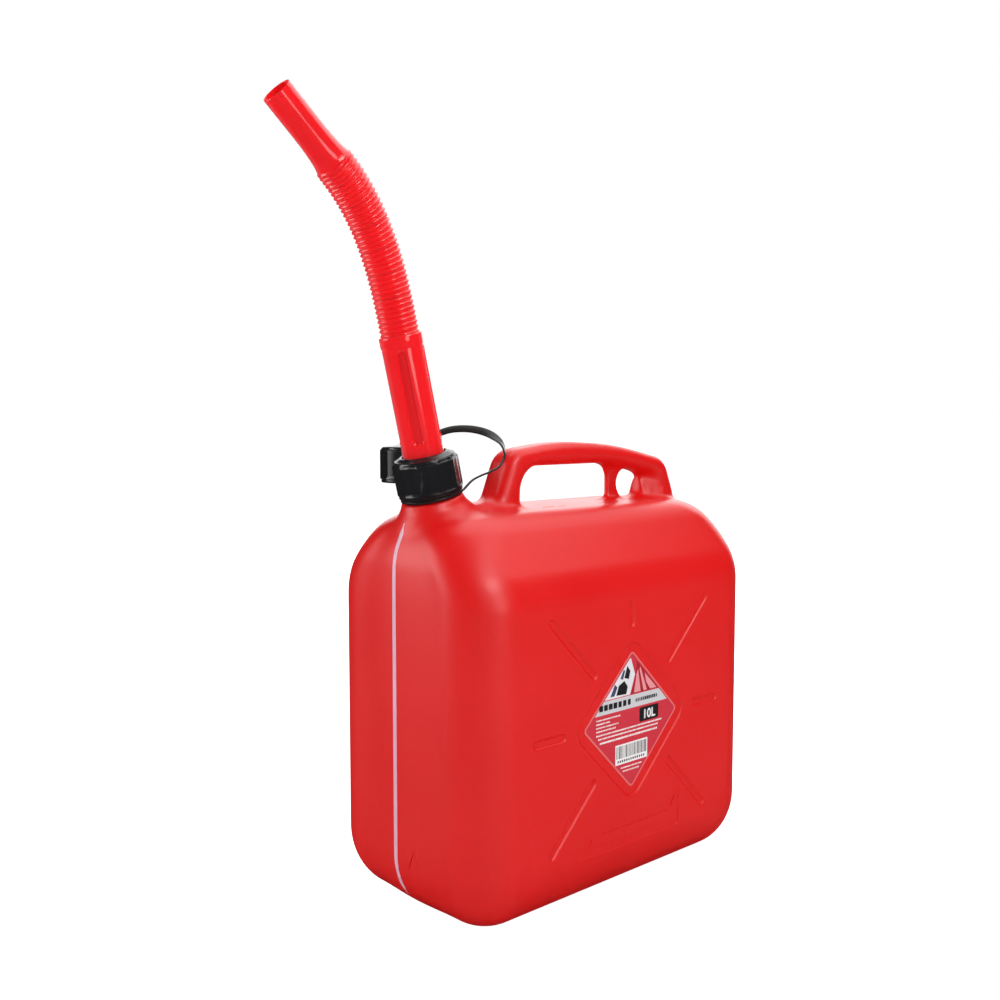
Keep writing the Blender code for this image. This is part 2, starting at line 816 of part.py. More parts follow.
STRAP_ROUTE = (
    (-95.6, -15.8, 283.0),
    (-90.2, -17.2, 288.0),
    (-84.0, -18.6, 291.0),
    (-77.3, -20.3, 293.4),
    (-70.4, -22.0, 297.0),
    (-64.4, -20.6, 303.8),
    (-60.6, -13.5, 311.2),
    (-60.2, -4.0, 316.8),
    (-62.6, 6.0, 320.2),
    (-67.0, 16.0, 321.6),
    (-72.4, 25.6, 321.0),
    (-78.2, 32.8, 318.2),
    (-83.4, 37.0, 314.8),
    (-88.0, 40.2, 312.6),
)
STRAP_JOINTS = (5, 9)
STRAP_LIES = Vector((0.73, 0.67, 0))


def strap_point(place):
    """A point of the smooth curve through STRAP_ROUTE. place counts the route's points."""
    route = [Vector(p) * MM for p in STRAP_ROUTE]
    i = min(int(place), len(route) - 2)
    t = place - i
    p1 = route[i]
    p2 = route[i + 1]
    p0 = route[i - 1] if i else 2 * p1 - p2
    p3 = route[i + 2] if i + 2 < len(route) else 2 * p2 - p1
    slope_low = (p2 - p0) / 2
    slope_high = (p3 - p1) / 2
    curve = p1 * (2 * t**3 - 3 * t**2 + 1) + slope_low * (t**3 - 2 * t**2 + t)
    return curve + p2 * (3 * t**2 - 2 * t**3) + slope_high * (t**3 - t**2)


def eased(low, high, value):
    share = min(max((value - low) / (high - low), 0), 1)
    return share * share * (3 - 2 * share)


def strap_frame(place):
    """(point, direction, width direction) of the strap. It lies flat and rears up round the back."""
    point = strap_point(place)
    along = (strap_point(place + 0.02) - strap_point(place - 0.02)).normalized()
    rear = eased(5, 8, place) * (1 - eased(10.5, 12.8, place))
    faces = along.cross(STRAP_LIES + Vector((0, 0, rear))).normalized()
    return point, along, faces.cross(along)


def strap_piece(name, mat, start, end):
    count = round((end - start) * 2)
    rings = []
    for step in range(count + 1):
        place = start + (end - start) * step / count
        point, along, width = strap_frame(place)
        if step == 0:
            point = point + along * GAP
        if step == count:
            point = point - along * GAP
        out = along.cross(width) * STRAP_THICK / 2
        half = width * STRAP_WIDTH / 2
        rings.append(
            [point + half + out, point - half + out, point - half - out, point + half - out]
        )
    return add_object(name, skin_rings(rings, False), mat)


def strap(mat):
    last = len(STRAP_ROUTE) - 1
    stops = (0, *STRAP_JOINTS, last)
    pieces = []
    for number, (start, end) in enumerate(zip(stops, stops[1:]), 1):
        pieces.append(strap_piece(f"tether_strap_{number}", mat, start, end))
    return pieces


def tether_eyelet(mat):
    """The strap's end ring, snapped over the stud on the cap."""
    low = COLLAR_HEIGHT + CAP_DOME + 0.4 * MM
    profile = (
        (EYELET_INNER, low),
        (EYELET_OUTER, low),
        (EYELET_OUTER, low + EYELET_THICK),
        (EYELET_INNER, low + EYELET_THICK),
    )
    obj = add_object("tether_eyelet", turned(profile, 32), mat)
    obj.location = CAP_FOOT
    return obj


def clear_scene():
    for obj in list(bpy.data.objects):
        bpy.data.objects.remove(obj, do_unlink=True)


def build():
    clear_scene()
    red = material("red_polyethylene", (0.62, 0.012, 0.012), 0.38)
    spout_red = material("spout_red", (0.68, 0.010, 0.010), 0.24)
    black = material("black_polypropylene", (0.012, 0.012, 0.013), 0.34)
    rubber = material("seal_rubber", (0.02, 0.02, 0.02), 0.7)
    clear = material("view_stripe_natural", (0.78, 0.42, 0.50), 0.35)
    paper = material("label_film", (0.72, 0.70, 0.70), 0.4)

    axis = bpy.data.objects.new("neck_axis", None)
    bpy.context.scene.collection.objects.link(axis)
    axis.location = NECK_FOOT
    axis.rotation_euler.y = -NECK_LEAN

    can_shell(red, axis)
    stripe_form("view_stripe", clear, 2.6 * MM, 0.7 * MM, 0.1 * MM, 0)
    label(paper)
    gasket(rubber, axis)
    collar(black, axis)
    tube = spout_tube(spout_red, axis)
    flexible_spout(spout_red, tube)
    tether_ring(black, axis)
    strap(black)
    tether_eyelet(black)
    screw_cap(black)
    cap_seal(rubber)


build()
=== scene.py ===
"""A ten litre plastic jerry can with a flexible spout, a screw collar and a tethered cap.

The sections follow the can as it is made and put together: shell, sight stripe, label, neck, collar,
spout, tether and cap. All lengths are in metres.
"""

import json
from math import atan2, cos, pi, radians, sin, sqrt, tan

import bmesh
import bpy
import numpy as np
from mathutils import Matrix, Vector


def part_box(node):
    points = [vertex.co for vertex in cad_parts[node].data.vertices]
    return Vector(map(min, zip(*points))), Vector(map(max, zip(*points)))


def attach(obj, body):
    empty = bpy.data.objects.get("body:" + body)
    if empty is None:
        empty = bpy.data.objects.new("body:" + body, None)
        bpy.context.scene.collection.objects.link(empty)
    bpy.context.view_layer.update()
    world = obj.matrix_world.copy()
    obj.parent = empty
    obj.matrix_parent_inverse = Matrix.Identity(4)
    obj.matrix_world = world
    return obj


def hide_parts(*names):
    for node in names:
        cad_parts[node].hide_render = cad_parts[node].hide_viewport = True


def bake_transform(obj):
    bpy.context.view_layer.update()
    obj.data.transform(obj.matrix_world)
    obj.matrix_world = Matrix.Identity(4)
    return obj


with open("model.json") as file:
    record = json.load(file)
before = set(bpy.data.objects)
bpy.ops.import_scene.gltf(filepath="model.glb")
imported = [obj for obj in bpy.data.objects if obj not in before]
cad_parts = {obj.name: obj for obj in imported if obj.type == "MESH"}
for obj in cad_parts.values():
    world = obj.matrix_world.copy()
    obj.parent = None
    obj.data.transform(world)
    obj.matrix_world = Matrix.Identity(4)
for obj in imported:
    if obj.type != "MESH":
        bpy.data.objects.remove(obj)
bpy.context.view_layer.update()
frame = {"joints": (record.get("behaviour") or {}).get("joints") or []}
joint_at = {joint["name"]: joint for joint in frame["joints"]}
MM = 0.001


# Studio: a pale floor and a white surround that the eye sees but that lights the can only a little.
# Broad soft lights stand over, behind and beside the can and weak ones in front of it, and two more
# only leave a sheen, one on the spout and one on the shoulder's corner.

look_from = Vector((-0.5696, -0.5746, 0.3333))
look_at = Vector((-0.0499, 0, 0.2719))
camera_data = bpy.data.cameras.new("camera")
camera_data.lens = 40.03
camera_data.sensor_width = 36
camera_data.clip_start = 0.02
camera = bpy.data.objects.new("camera", camera_data)
camera.location = look_from
camera.rotation_euler = (look_at - look_from).to_track_quat("-Z", "Y").to_euler()
bpy.context.scene.collection.objects.link(camera)
bpy.context.scene.camera = camera
bpy.context.scene.view_settings.view_transform = "Standard"

world = bpy.data.worlds.new("studio")
world.use_nodes = True
world_nodes = world.node_tree
surround = world_nodes.nodes["Background"]
surround.inputs["Color"].default_value = (0.20, 0.20, 0.205, 1)
mirrored = world_nodes.nodes.new("ShaderNodeBackground")
mirrored.inputs["Color"].default_value = (0.01, 0.01, 0.01, 1)
seen = world_nodes.nodes.new("ShaderNodeBackground")
seen.inputs["Color"].default_value = (1, 1, 1, 1)
ray = world_nodes.nodes.new("ShaderNodeLightPath")
first_choice = world_nodes.nodes.new("ShaderNodeMixShader")
last_choice = world_nodes.nodes.new("ShaderNodeMixShader")
world_nodes.links.new(ray.outputs["Is Glossy Ray"], first_choice.inputs[0])
world_nodes.links.new(surround.outputs[0], first_choice.inputs[1])
world_nodes.links.new(mirrored.outputs[0], first_choice.inputs[2])
world_nodes.links.new(ray.outputs["Is Camera Ray"], last_choice.inputs[0])
world_nodes.links.new(first_choice.outputs[0], last_choice.inputs[1])
world_nodes.links.new(seen.outputs[0], last_choice.inputs[2])
world_nodes.links.new(last_choice.outputs[0], world_nodes.nodes["World Output"].inputs[0])
bpy.context.scene.world = world


def soft_light(name, place, aim, size, power, mirrored=True, lights=True):
    """A rectangular softbox. It may leave no sheen (mirrored False) or nothing but sheen (lights False)."""
    data = bpy.data.lights.new(name, "AREA")
    data.shape = "RECTANGLE"
    data.size, data.size_y = size
    data.energy = power
    lamp = bpy.data.objects.new(name, data)
    lamp.location = place
    lamp.rotation_euler = (Vector(aim) - Vector(place)).to_track_quat("-Z", "Y").to_euler()
    lamp.visible_camera = False
    lamp.visible_glossy = mirrored
    lamp.visible_diffuse = lights
    bpy.context.scene.collection.objects.link(lamp)


soft_light("over", (0.5, 0.1, 1.6), (0, 0, 0.2), (2.2, 1.4), 20)
soft_light("spout_side", (-1.55, 1.2, 0.75), (0, 0, 0.25), (1.1, 1.4), 20)
soft_light("front", (-0.5, -1.6, 0.75), (0, 0, 0.2), (1.5, 1.0), 11, False)
soft_light("front_high", (-0.1, -0.98, 1.3), (0, 0, 0.22), (0.55, 0.45), 4.6)
soft_light("backdrop", (1.5, 1.3, 0.78), (0, 0, 0.3), (2.4, 1.5), 26)
soft_light("spout_streak", (-0.22, -1.2, 0.42), (-0.18, 0, 0.42), (0.34, 0.5), 2.0, lights=False)
soft_light("corner_glint", (-0.32, -1.0, 1.0), (-0.1, -0.07, 0.22), (0.42, 0.4), 4.0, lights=False)


def plain_floor():
    floor_bm = bmesh.new()
    bmesh.ops.create_grid(floor_bm, x_segments=8, y_segments=8, size=9)
    mesh = bpy.data.meshes.new("floor")
    floor_bm.to_mesh(mesh)
    floor_bm.free()
    floor = bpy.data.objects.new("floor", mesh)
    bpy.context.scene.collection.objects.link(floor)
    paint = bpy.data.materials.new("pale_floor")
    paint.use_nodes = True
    nodes = paint.node_tree.nodes
    shader = nodes["Principled BSDF"]
    to_mirror = nodes.new("ShaderNodeLightPath")
    tone = nodes.new("ShaderNodeMix")
    tone.data_type = "RGBA"
    tone.inputs[6].default_value = (0.93, 0.93, 0.93, 1)
    tone.inputs[7].default_value = (0.015, 0.015, 0.015, 1)
    paint.node_tree.links.new(to_mirror.outputs["Is Glossy Ray"], tone.inputs[0])
    paint.node_tree.links.new(tone.outputs[2], shader.inputs["Base Color"])
    shader.inputs["Roughness"].default_value = 0.9
    shader.inputs["Specular IOR Level"].default_value = 0.1
    shader.inputs["Emission Color"].default_value = (1, 1, 1, 1)
    to_eye = nodes.new("ShaderNodeLightPath")
    glow = nodes.new("ShaderNodeMath")
    glow.operation = "MULTIPLY"
    glow.inputs[1].default_value = 0.93
    paint.node_tree.links.new(to_eye.outputs["Is Camera Ray"], glow.inputs[0])
    paint.node_tree.links.new(glow.outputs[0], shader.inputs["Emission Strength"])
    mesh.materials.append(paint)


plain_floor()


# Can shell: one piece of red polyethylene, blown in a split mould. Its long sides roll into a sloping
# shoulder, the handle and its pinched web are moulded in, and a diamond recess takes the label.

_, shell_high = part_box("can_sides")
END_CROWN = 2.6 * MM
HALF_WIDTH = shell_high.y
HALF_LENGTH = shell_high.x - END_CROWN
CORNER = 36 * MM
BASE_IN = 34 * MM
BASE_UP = 43 * MM
DECK_Z = 266.3 * MM
DECK_HALF_WIDTH = 31 * MM
DECK_HALF_LENGTH = 114 * MM
SHOULDER_Z = 208 * MM
SHOULDER_SLOPE = radians(40)
SHOULDER_LOW_RADIUS = 40 * MM
SHOULDER_TOP_RADIUS = 31 * MM
END_SHOULDER_Z = 232 * MM
SEAM_Z = 206 * MM
SKIN_VOXEL = 1.75 * MM
neck_foot = Vector(joint_at["collar_turn"]["pos_m"])
neck_up = Vector(joint_at["collar_turn"]["axis"]).normalized()
neck_place = Matrix.Translation(neck_foot) @ Matrix.Rotation(atan2(neck_up.x, neck_up.z), 4, "Y")


def new_piece(name, bm, place=None, smooth=True):
    """A linked object from a bmesh, its doubles merged, its faces turned out and its place in its mesh."""
    bmesh.ops.remove_doubles(bm, verts=bm.verts, dist=1e-6)
    bmesh.ops.recalc_face_normals(bm, faces=bm.faces)
    mesh = bpy.data.meshes.new(name)
    bm.to_mesh(mesh)
    bm.free()
    if place is not None:
        mesh.transform(place)
    if smooth:
        mesh.shade_smooth()
        mesh.set_sharp_from_angle(angle=radians(35))
    piece = bpy.data.objects.new(name, mesh)
    bpy.context.scene.collection.objects.link(piece)
    return piece


def skin(rings, capped=True, looped=False):
    """A bmesh over rings of points. looped joins the last ring to the first, capped closes both ends."""
    bm = bmesh.new()
    made = [[bm.verts.new(point) for point in ring] for ring in rings]
    pairs = list(zip(made, made[1:] + made[:1] if looped else made[1:]))
    for low, high in pairs:
        for j in range(len(low)):
            k = (j + 1) % len(low)
            bm.faces.new((low[j], low[k], high[k], high[j]))
    if capped and not looped:
        bm.faces.new(made[0])
        bm.faces.new(made[-1])
    return bm


def turned(profile, sides, looped=False):
    """The bmesh of a (radius, height) profile turned about Z. A looped profile closes on itself."""
    rings = []
    for radius, height in profile:
        angles = [2 * pi * step / sides for step in range(sides)]
        rings.append([Vector((radius * cos(a), radius * sin(a), height)) for a in angles])
    return skin(rings, True, looped)


def evaluated(piece, name=None):
    """The piece with its modifiers made real in a plain mesh."""
    graph = bpy.context.evaluated_depsgraph_get()
    mesh = bpy.data.meshes.new_from_object(piece.evaluated_get(graph), depsgraph=graph)
    piece.modifiers.clear()
    piece.data = mesh
    if name:
        piece.name = name
    return piece


def cut(piece, other, operation="DIFFERENCE"):
    modifier = piece.modifiers.new(operation.title(), "BOOLEAN")
    modifier.operation = operation
    modifier.object = other
    modifier.solver = "EXACT"
    evaluated(piece)
    bpy.data.objects.remove(other, do_unlink=True)


def rounded(corners, steps=10):
    """The points of a closed outline of (x, z, radius) corners, each corner an arc."""
    points = []
    for i, (x, z, radius) in enumerate(corners):
        here = Vector((x, z))
        before = (Vector(corners[i - 1][:2]) - here).normalized()
        after = (Vector(corners[(i + 1) % len(corners)][:2]) - here).normalized()
        if radius <= 0:
            points.append(here)
            continue
        half = before.angle(after) / 2
        centre = here + (before + after).normalized() * radius / sin(half)
        start = here + before * radius / tan(half) - centre
        end = here + after * radius / tan(half) - centre
        sweep = start.angle_signed(end)
        for step in range(steps + 1):
            points.append(centre + Matrix.Rotation(-sweep * step / steps, 2) @ start)
    return points


def inset(corners, amount):
    """The same outline moved inwards. Its corners run anticlockwise in (x, z)."""
    moved = []
    for i, (x, z, radius) in enumerate(corners):
        here = Vector((x, z))
        into = (here - Vector(corners[i - 1][:2])).normalized()
        out = (Vector(corners[(i + 1) % len(corners)][:2]) - here).normalized()
        left_in = Vector((-into.y, into.x))
        left_out = Vector((-out.y, out.x))
        shift = (left_in + left_out) * amount / (1 + left_in.dot(left_out))
        turns_left = into.x * out.y - into.y * out.x > 0
        size = radius - amount if turns_left else radius + amount
        moved.append((x + shift.x, z + shift.y, max(size, 0.5 * MM)))
    return moved


def body_ring(half_length, half_width, corner, height):
    """One level of the can: a rectangle with round corners and slightly bowed ends."""
    points = []
    flat = half_width - corner
    crown = END_CROWN * min(1, half_width / HALF_WIDTH)
    for side in (1, -1):
        for quarter in (0, 1):
            for step in range(25):
                angle = pi / 2 * (step / 24 + quarter)
                x = side * ((half_length - corner) * (1 - 2 * quarter) + corner * cos(angle))
                y = side * (flat + corner * sin(angle))
                points.append(Vector((x, y, height)))
        for step in range(-8, 9):
            share = step / 9
            bow = crown * cos(pi / 2 * share) ** 2
            points.append(Vector((-side * (half_length + bow), -side * share * flat, height)))
    return points


def base_levels():
    for step in range(25):
        angle = pi / 2 * step / 24
        back = BASE_IN * (1 - sin(angle))
        height = BASE_UP * (1 - cos(angle))
        yield HALF_LENGTH - back, HALF_WIDTH - back, CORNER - back * 0.85, height


def shoulder_levels():
    low = SHOULDER_LOW_RADIUS
    top = SHOULDER_TOP_RADIUS
    slopes = [SHOULDER_SLOPE * step / 14 for step in range(15)]
    places = [(HALF_WIDTH - low + low * cos(a), SHOULDER_Z + low * sin(a)) for a in slopes]
    upper = [SHOULDER_SLOPE + (pi / 2 - SHOULDER_SLOPE) * step / 18 for step in range(19)]
    first = (DECK_HALF_WIDTH + top * cos(upper[0]), DECK_Z - top + top * sin(upper[0]))
    for step in range(1, 8):
        share = step / 8
        between = Vector(places[14]).lerp(Vector(first), share)
        places.append((between.x, between.y))
    places += [(DECK_HALF_WIDTH + top * cos(a), DECK_Z - top + top * sin(a)) for a in upper]
    for half_width, height in places:
        rise = min(max((height - END_SHOULDER_Z) / (DECK_Z - END_SHOULDER_Z), 0), 1)
        half_length = DECK_HALF_LENGTH + (HALF_LENGTH - DECK_HALF_LENGTH) * sqrt(1 - rise * rise)
        yield half_length, half_width, min(CORNER, half_width - 1.5 * MM), height


HANDLE_OUTLINE = (
    (-88 * MM, 238 * MM, 0),
    (130 * MM, 238 * MM, 0),
    (128.5 * MM, 268 * MM, 30 * MM),
    (116.5 * MM, 296.8 * MM, 18 * MM),
    (60 * MM, 309 * MM, 340 * MM),
    (2 * MM, 312.4 * MM, 240 * MM),
    (-47.5 * MM, 306.4 * MM, 18 * MM),
    (-61.5 * MM, 271.5 * MM, 9 * MM),
    (-88 * MM, 271.5 * MM, 0),
)
HANDLE_WINDOW = (
    (-38.8 * MM, 258 * MM, 5 * MM),
    (108 * MM, 258 * MM, 5 * MM),
    (106 * MM, 284 * MM, 9 * MM),
    (58 * MM, 295.2 * MM, 180 * MM),
    (-38.8 * MM, 295.2 * MM, 18 * MM),
)
HANDLE_HALF_WIDTH = 13.5 * MM
HANDLE_ROUNDING = 8 * MM
WEB_OUTLINE = (
    (46 * MM, 252 * MM, 0),
    (112 * MM, 252 * MM, 0),
    (112 * MM, 290 * MM, 0),
    (46 * MM, 300 * MM, 0),
    (44 * MM, 297 * MM, 0),
    (58.6 * MM, 295.2 * MM, 14 * MM),
    (58.6 * MM, 265.8 * MM, 8 * MM),
    (46 * MM, 265 * MM, 0),
)
WEB_HOLE = Vector((82.2 * MM, 0, 278.6 * MM))
WEB_HOLE_RADIUS = 12.2 * MM


def rounded_plate(name, corners, half_width, rounding, grow):
    """A plate across Y. Its outline shrinks towards its faces (grow -1) or spreads (grow +1), as an arc."""
    rings = []
    turns = [pi / 2 * step / 8 for step in range(9)]
    offsets = [(half_width - rounding + rounding * sin(a), rounding * (1 - cos(a))) for a in turns]
    for y, amount in [(-y, a) for y, a in reversed(offsets)] + offsets:
        outline = rounded(inset(corners, -grow * amount))
        rings.append([Vector((p.x, y, p.y)) for p in outline])
    return new_piece(name, skin(rings))


def handle_solid():
    bar = rounded_plate("handle", HANDLE_OUTLINE, HANDLE_HALF_WIDTH, HANDLE_ROUNDING, -1)
    window = rounded_plate("window", HANDLE_WINDOW, HANDLE_HALF_WIDTH + 0.05 * MM, HANDLE_ROUNDING, 1)
    cut(bar, window)
    return bar


def web_solid():
    web = rounded_plate("web", WEB_OUTLINE, 2.1 * MM, 0.6 * MM, -1)
    flare = [(WEB_HOLE_RADIUS + 1.2 * MM * (abs(h) / 2.1) ** 2, h * MM) for h in (-2.1, -1, 0, 1, 2.1)]
    far = WEB_HOLE_RADIUS + 1.3 * MM
    hole_profile = [(far, -9 * MM), *flare, (far, 9 * MM)]
    place = Matrix.Translation(WEB_HOLE) @ Matrix.Rotation(pi / 2, 4, "X")
    cut(web, new_piece("web_hole", turned(hole_profile, 48), place))
    return web


def blob_between(name, start, end, radius):
    """A round-ended rod, used as a soft ridge where it sinks into the shell."""
    start = Vector(start)
    end = Vector(end)
    along = end - start
    turns = [pi / 2 * step / 6 for step in range(7)]
    profile = [(radius * sin(a), -radius * cos(a)) for a in turns[1:]]
    profile += [(radius * cos(a), along.length + radius * sin(a)) for a in turns[:6]]
    place = Matrix.Translation(start) @ along.to_track_quat("Z", "Y").to_matrix().to_4x4()
    return new_piece(name, turned(profile, 12), place)


def neck_solid():
    """The flared root of the neck up to the plain ring that the tether turns on."""
    flare = ((34, -44), (34, -27), (32.2, -22.4), (30, -19), (27.6, -15.2), (25.4, -12), (23.6, -9.8))
    flare += ((22.2, -8), (21.2, -6.4), (20.8, -5.4), (20.8, -3.1))
    profile = [(radius * MM, height * MM) for radius, height in flare]
    return new_piece("neck_root", turned(profile, 72), neck_place)


RIPPLES = ((95.5, 271, 279), (100.5, 271, 281), (106, 271, 283), (111, 271, 283))


def top_solid():
    """The shoulder, deck, handle, web and neck root fused into one skin, before its creases are filled."""
    wall = (HALF_LENGTH, HALF_WIDTH, CORNER)
    rings = [body_ring(*wall, 190 * MM)] + [body_ring(*level) for level in shoulder_levels()]
    top = new_piece("top", skin(rings))
    parts = [handle_solid(), web_solid(), neck_solid()]
    for side in (-1, 1):
        for i, (x, low, high) in enumerate(RIPPLES):
            y = side * (3.2 + 1.6 * i)
            ends = ((x * MM, y * 1.7 * MM, low * MM), (x * MM, y * 0.8 * MM, high * MM))
            parts.append(blob_between("ripple", *ends, 2.3 * MM))
    bm = bmesh.new()
    for part in (top, *parts):
        bm.from_mesh(part.data)
        bpy.data.objects.remove(part, do_unlink=True)
    fused = new_piece("can_top", bm)
    remesh = fused.modifiers.new("Skin", "REMESH")
    remesh.mode = "VOXEL"
    remesh.voxel_size = SKIN_VOXEL
    return evaluated(fused)


def fill_creases(piece, rounds, floor_z):
    """Rolls a fillet into every inside corner above floor_z, as blown plastic does, then evens the skin."""
    mesh = piece.data
    count = len(mesh.vertices)
    ends = np.zeros(len(mesh.edges) * 2, int)
    mesh.edges.foreach_get("vertices", ends)
    a, b = ends.reshape(-1, 2).T
    degree = np.bincount(a, minlength=count) + np.bincount(b, minlength=count)
    place = np.zeros(count * 3)
    mesh.vertices.foreach_get("co", place)
    place = place.reshape(-1, 3)
    free = np.clip((place[:, 2] - floor_z) / (8 * MM), 0, 1)[:, None]

    def pull(points):
        total = np.zeros_like(points)
        np.add.at(total, a, points[b])
        np.add.at(total, b, points[a])
        return total / degree[:, None] - points

    for turn in range(rounds):
        if turn % 4 == 0:
            mesh.vertices.foreach_set("co", place.ravel())
            mesh.update()
            normals = np.zeros(count * 3)
            mesh.vertices.foreach_get("normal", normals)
            normals = normals.reshape(-1, 3)
        move = pull(place)
        out = (move * normals).sum(1, keepdims=True)
        fill = np.where(out > 0.012 * MM, out, 0) * normals
        slide = move - out * normals
        place = place + free * (0.55 * fill + 0.25 * slide)
    for share in (0.5, -0.52) * 5:
        place = place + free * share * pull(place)
    mesh.vertices.foreach_set("co", place.ravel())
    mesh.update()


def slot_outline(start, end, radius):
    """A slot with round ends between two (x, z) points."""
    start = Vector(start)
    end = Vector(end)
    along = (end - start).normalized()
    across = Vector((-along.y, along.x))
    points = []
    for centre, turn in ((end, -pi / 2), (start, pi / 2)):
        for step in range(13):
            angle = turn + pi * step / 12
            points.append(centre + (along * cos(angle) + across * sin(angle)) * radius)
    return points


def diamond(half, rounding, middle):
    corners = ((half, 0), (0, half), (-half, 0), (0, -half))
    return rounded([(x, middle + z, rounding) for x, z in corners], 12)


def side_cutter(levels, side):
    """The bmesh of a cutter for a long side: outlines in (x, z), each at a depth under the skin."""
    rings = []
    for outline, depth in levels:
        rings.append([Vector((p.x, side * (HALF_WIDTH - depth(p)), p.y)) for p in outline])
    return skin(rings)


def at_depth(depth):
    return lambda p: depth


GROOVE_WALL = ((1.5, -1.5), (0.3, 0.0), (-0.15, 0.25), (-0.7, 0.8), (-1.2, 1.05))
GROOVE_RADIUS = 3 * MM
DIAMOND_Z = 123 * MM
DIAMOND_WALL = ((2.6, -1.5), (0.0, 0.0), (-0.4, 0.22), (-1.2, 0.88), (-1.7, 1.05))
DIAMOND_OUTER = 59 * MM


def side_details():
    """Everything pressed into the two long sides, as one cutter."""
    bm = bmesh.new()
    lines = []
    for x in (-1, 1):
        for z in (-1, 1):
            start = (x * 38.5 * MM, DIAMOND_Z + z * 36.5 * MM)
            lines.append((start, (x * 77.5 * MM, DIAMOND_Z + z * 76 * MM)))
        lines.append(((x * 67.5 * MM, DIAMOND_Z), (x * 91.5 * MM, DIAMOND_Z)))
    lines.append(((-1.5 * MM, DIAMOND_Z + 67 * MM), (-1.5 * MM, DIAMOND_Z + 79 * MM)))
    for side in (-1, 1):
        pieces = []
        for start, end in lines:
            levels = [
                (slot_outline(start, end, GROOVE_RADIUS + grow * MM), at_depth(depth * MM))
                for grow, depth in GROOVE_WALL
            ]
            pieces.append(side_cutter(levels, side))
        rim = [
            (diamond(DIAMOND_OUTER + grow * MM * 1.41, (12.5 + grow) * MM, DIAMOND_Z), at_depth(depth * MM))
            for grow, depth in DIAMOND_WALL
        ]
        pieces.append(side_cutter(rim, side))
        if side < 0:
            pieces.append(embossed_panel())
        for piece in pieces:
            mesh = bpy.data.meshes.new("cutter")
            piece.to_mesh(mesh)
            piece.free()
            bm.from_mesh(mesh)
            bpy.data.meshes.remove(mesh)
    return new_piece("side_details", bm)


PANEL_LOW = 36 * MM
PANEL_HIGH = 70 * MM
PANEL_HALF = 51 * MM
PANEL_DEPTH = 0.75 * MM


def embossed_panel():
    """The cutter of a shallow panel under the label, deepest along its lower edge."""

    def sloping(p):
        share = (PANEL_HIGH - p.y) / (PANEL_HIGH - PANEL_LOW)
        return PANEL_DEPTH * min(max(share, -0.02), 1)

    def frame_outline(grow):
        low = PANEL_LOW - grow
        half = PANEL_HALF + grow
        tip = DIAMOND_Z - DIAMOND_OUTER - 2 * MM
        return rounded(
            [
                (-half, low, 3 * MM),
                (half, low, 3 * MM),
                (half, 66 * MM, 2 * MM),
                (36 * MM, 66 * MM, 2 * MM),
                (0, tip, 14 * MM),
                (-36 * MM, 66 * MM, 2 * MM),
                (-half, 66 * MM, 2 * MM),
            ],
            6,
        )

    over_skin = (frame_outline(0.7 * MM), at_depth(-1.2 * MM))
    return side_cutter([over_skin, (frame_outline(-0.3 * MM), sloping)], -1)


def mark_cutters():
    """Small grooves: the arrow on the spout end, the marks in the panel and the dashes on the deck."""
    bm = bmesh.new()

    def slot(start, end, radius, depth, place):
        outline = slot_outline(start, end, radius)
        low = [place @ Vector((p.x, p.y, -depth)) for p in outline]
        high = [place @ Vector((p.x, p.y, 1.5 * MM)) for p in outline]
        piece = skin([low, high])
        mesh = bpy.data.meshes.new("cutter")
        piece.to_mesh(mesh)
        piece.free()
        bm.from_mesh(mesh)
        bpy.data.meshes.remove(mesh)

    front = Matrix((( 0, 0, -1, -HALF_LENGTH - 1.9 * MM), (1, 0, 0, 0), (0, 1, 0, 0), (0, 0, 0, 1)))
    for lean in (-1, 1):
        tip = (-18.5 * MM, 50 * MM)
        foot = (-18.5 * MM + lean * 5.2 * MM, 36.5 * MM)
        slot(Vector(tip) + Vector((lean * 0.6 * MM, -1.6 * MM)), foot, 0.5 * MM, 0.5 * MM, front)
    deck = Matrix.Translation((0, 0, DECK_Z))
    for x, width in ((-24, 10), (-8, 5), (34, 12), (50, 4)):
        slot((x * MM, -17 * MM), ((x + width) * MM, -17 * MM), 0.9 * MM, 0.6 * MM, deck)
    side = Matrix(((1, 0, 0, 0), (0, 0, -1, -HALF_WIDTH + 0.3 * MM), (0, 1, 0, 0), (0, 0, 0, 1)))
    random = np.random.default_rng(7)
    for z, left, right in ((42.5, -40, 38), (50, -30, 36)):
        x = left
        while x < right:
            length = float(random.uniform(1.2, 5.5))
            slot((x * MM, z * MM), ((x + length) * MM, z * MM), 0.8 * MM, 0.42 * MM, side)
            x += length + 3.4
    for x, z in ((-44, 42), (42, 53)):
        slot((x * MM, z * MM), ((x + 4) * MM, (z + 6) * MM), 0.6 * MM, 0.5 * MM, side)
    return new_piece("marks", bm)


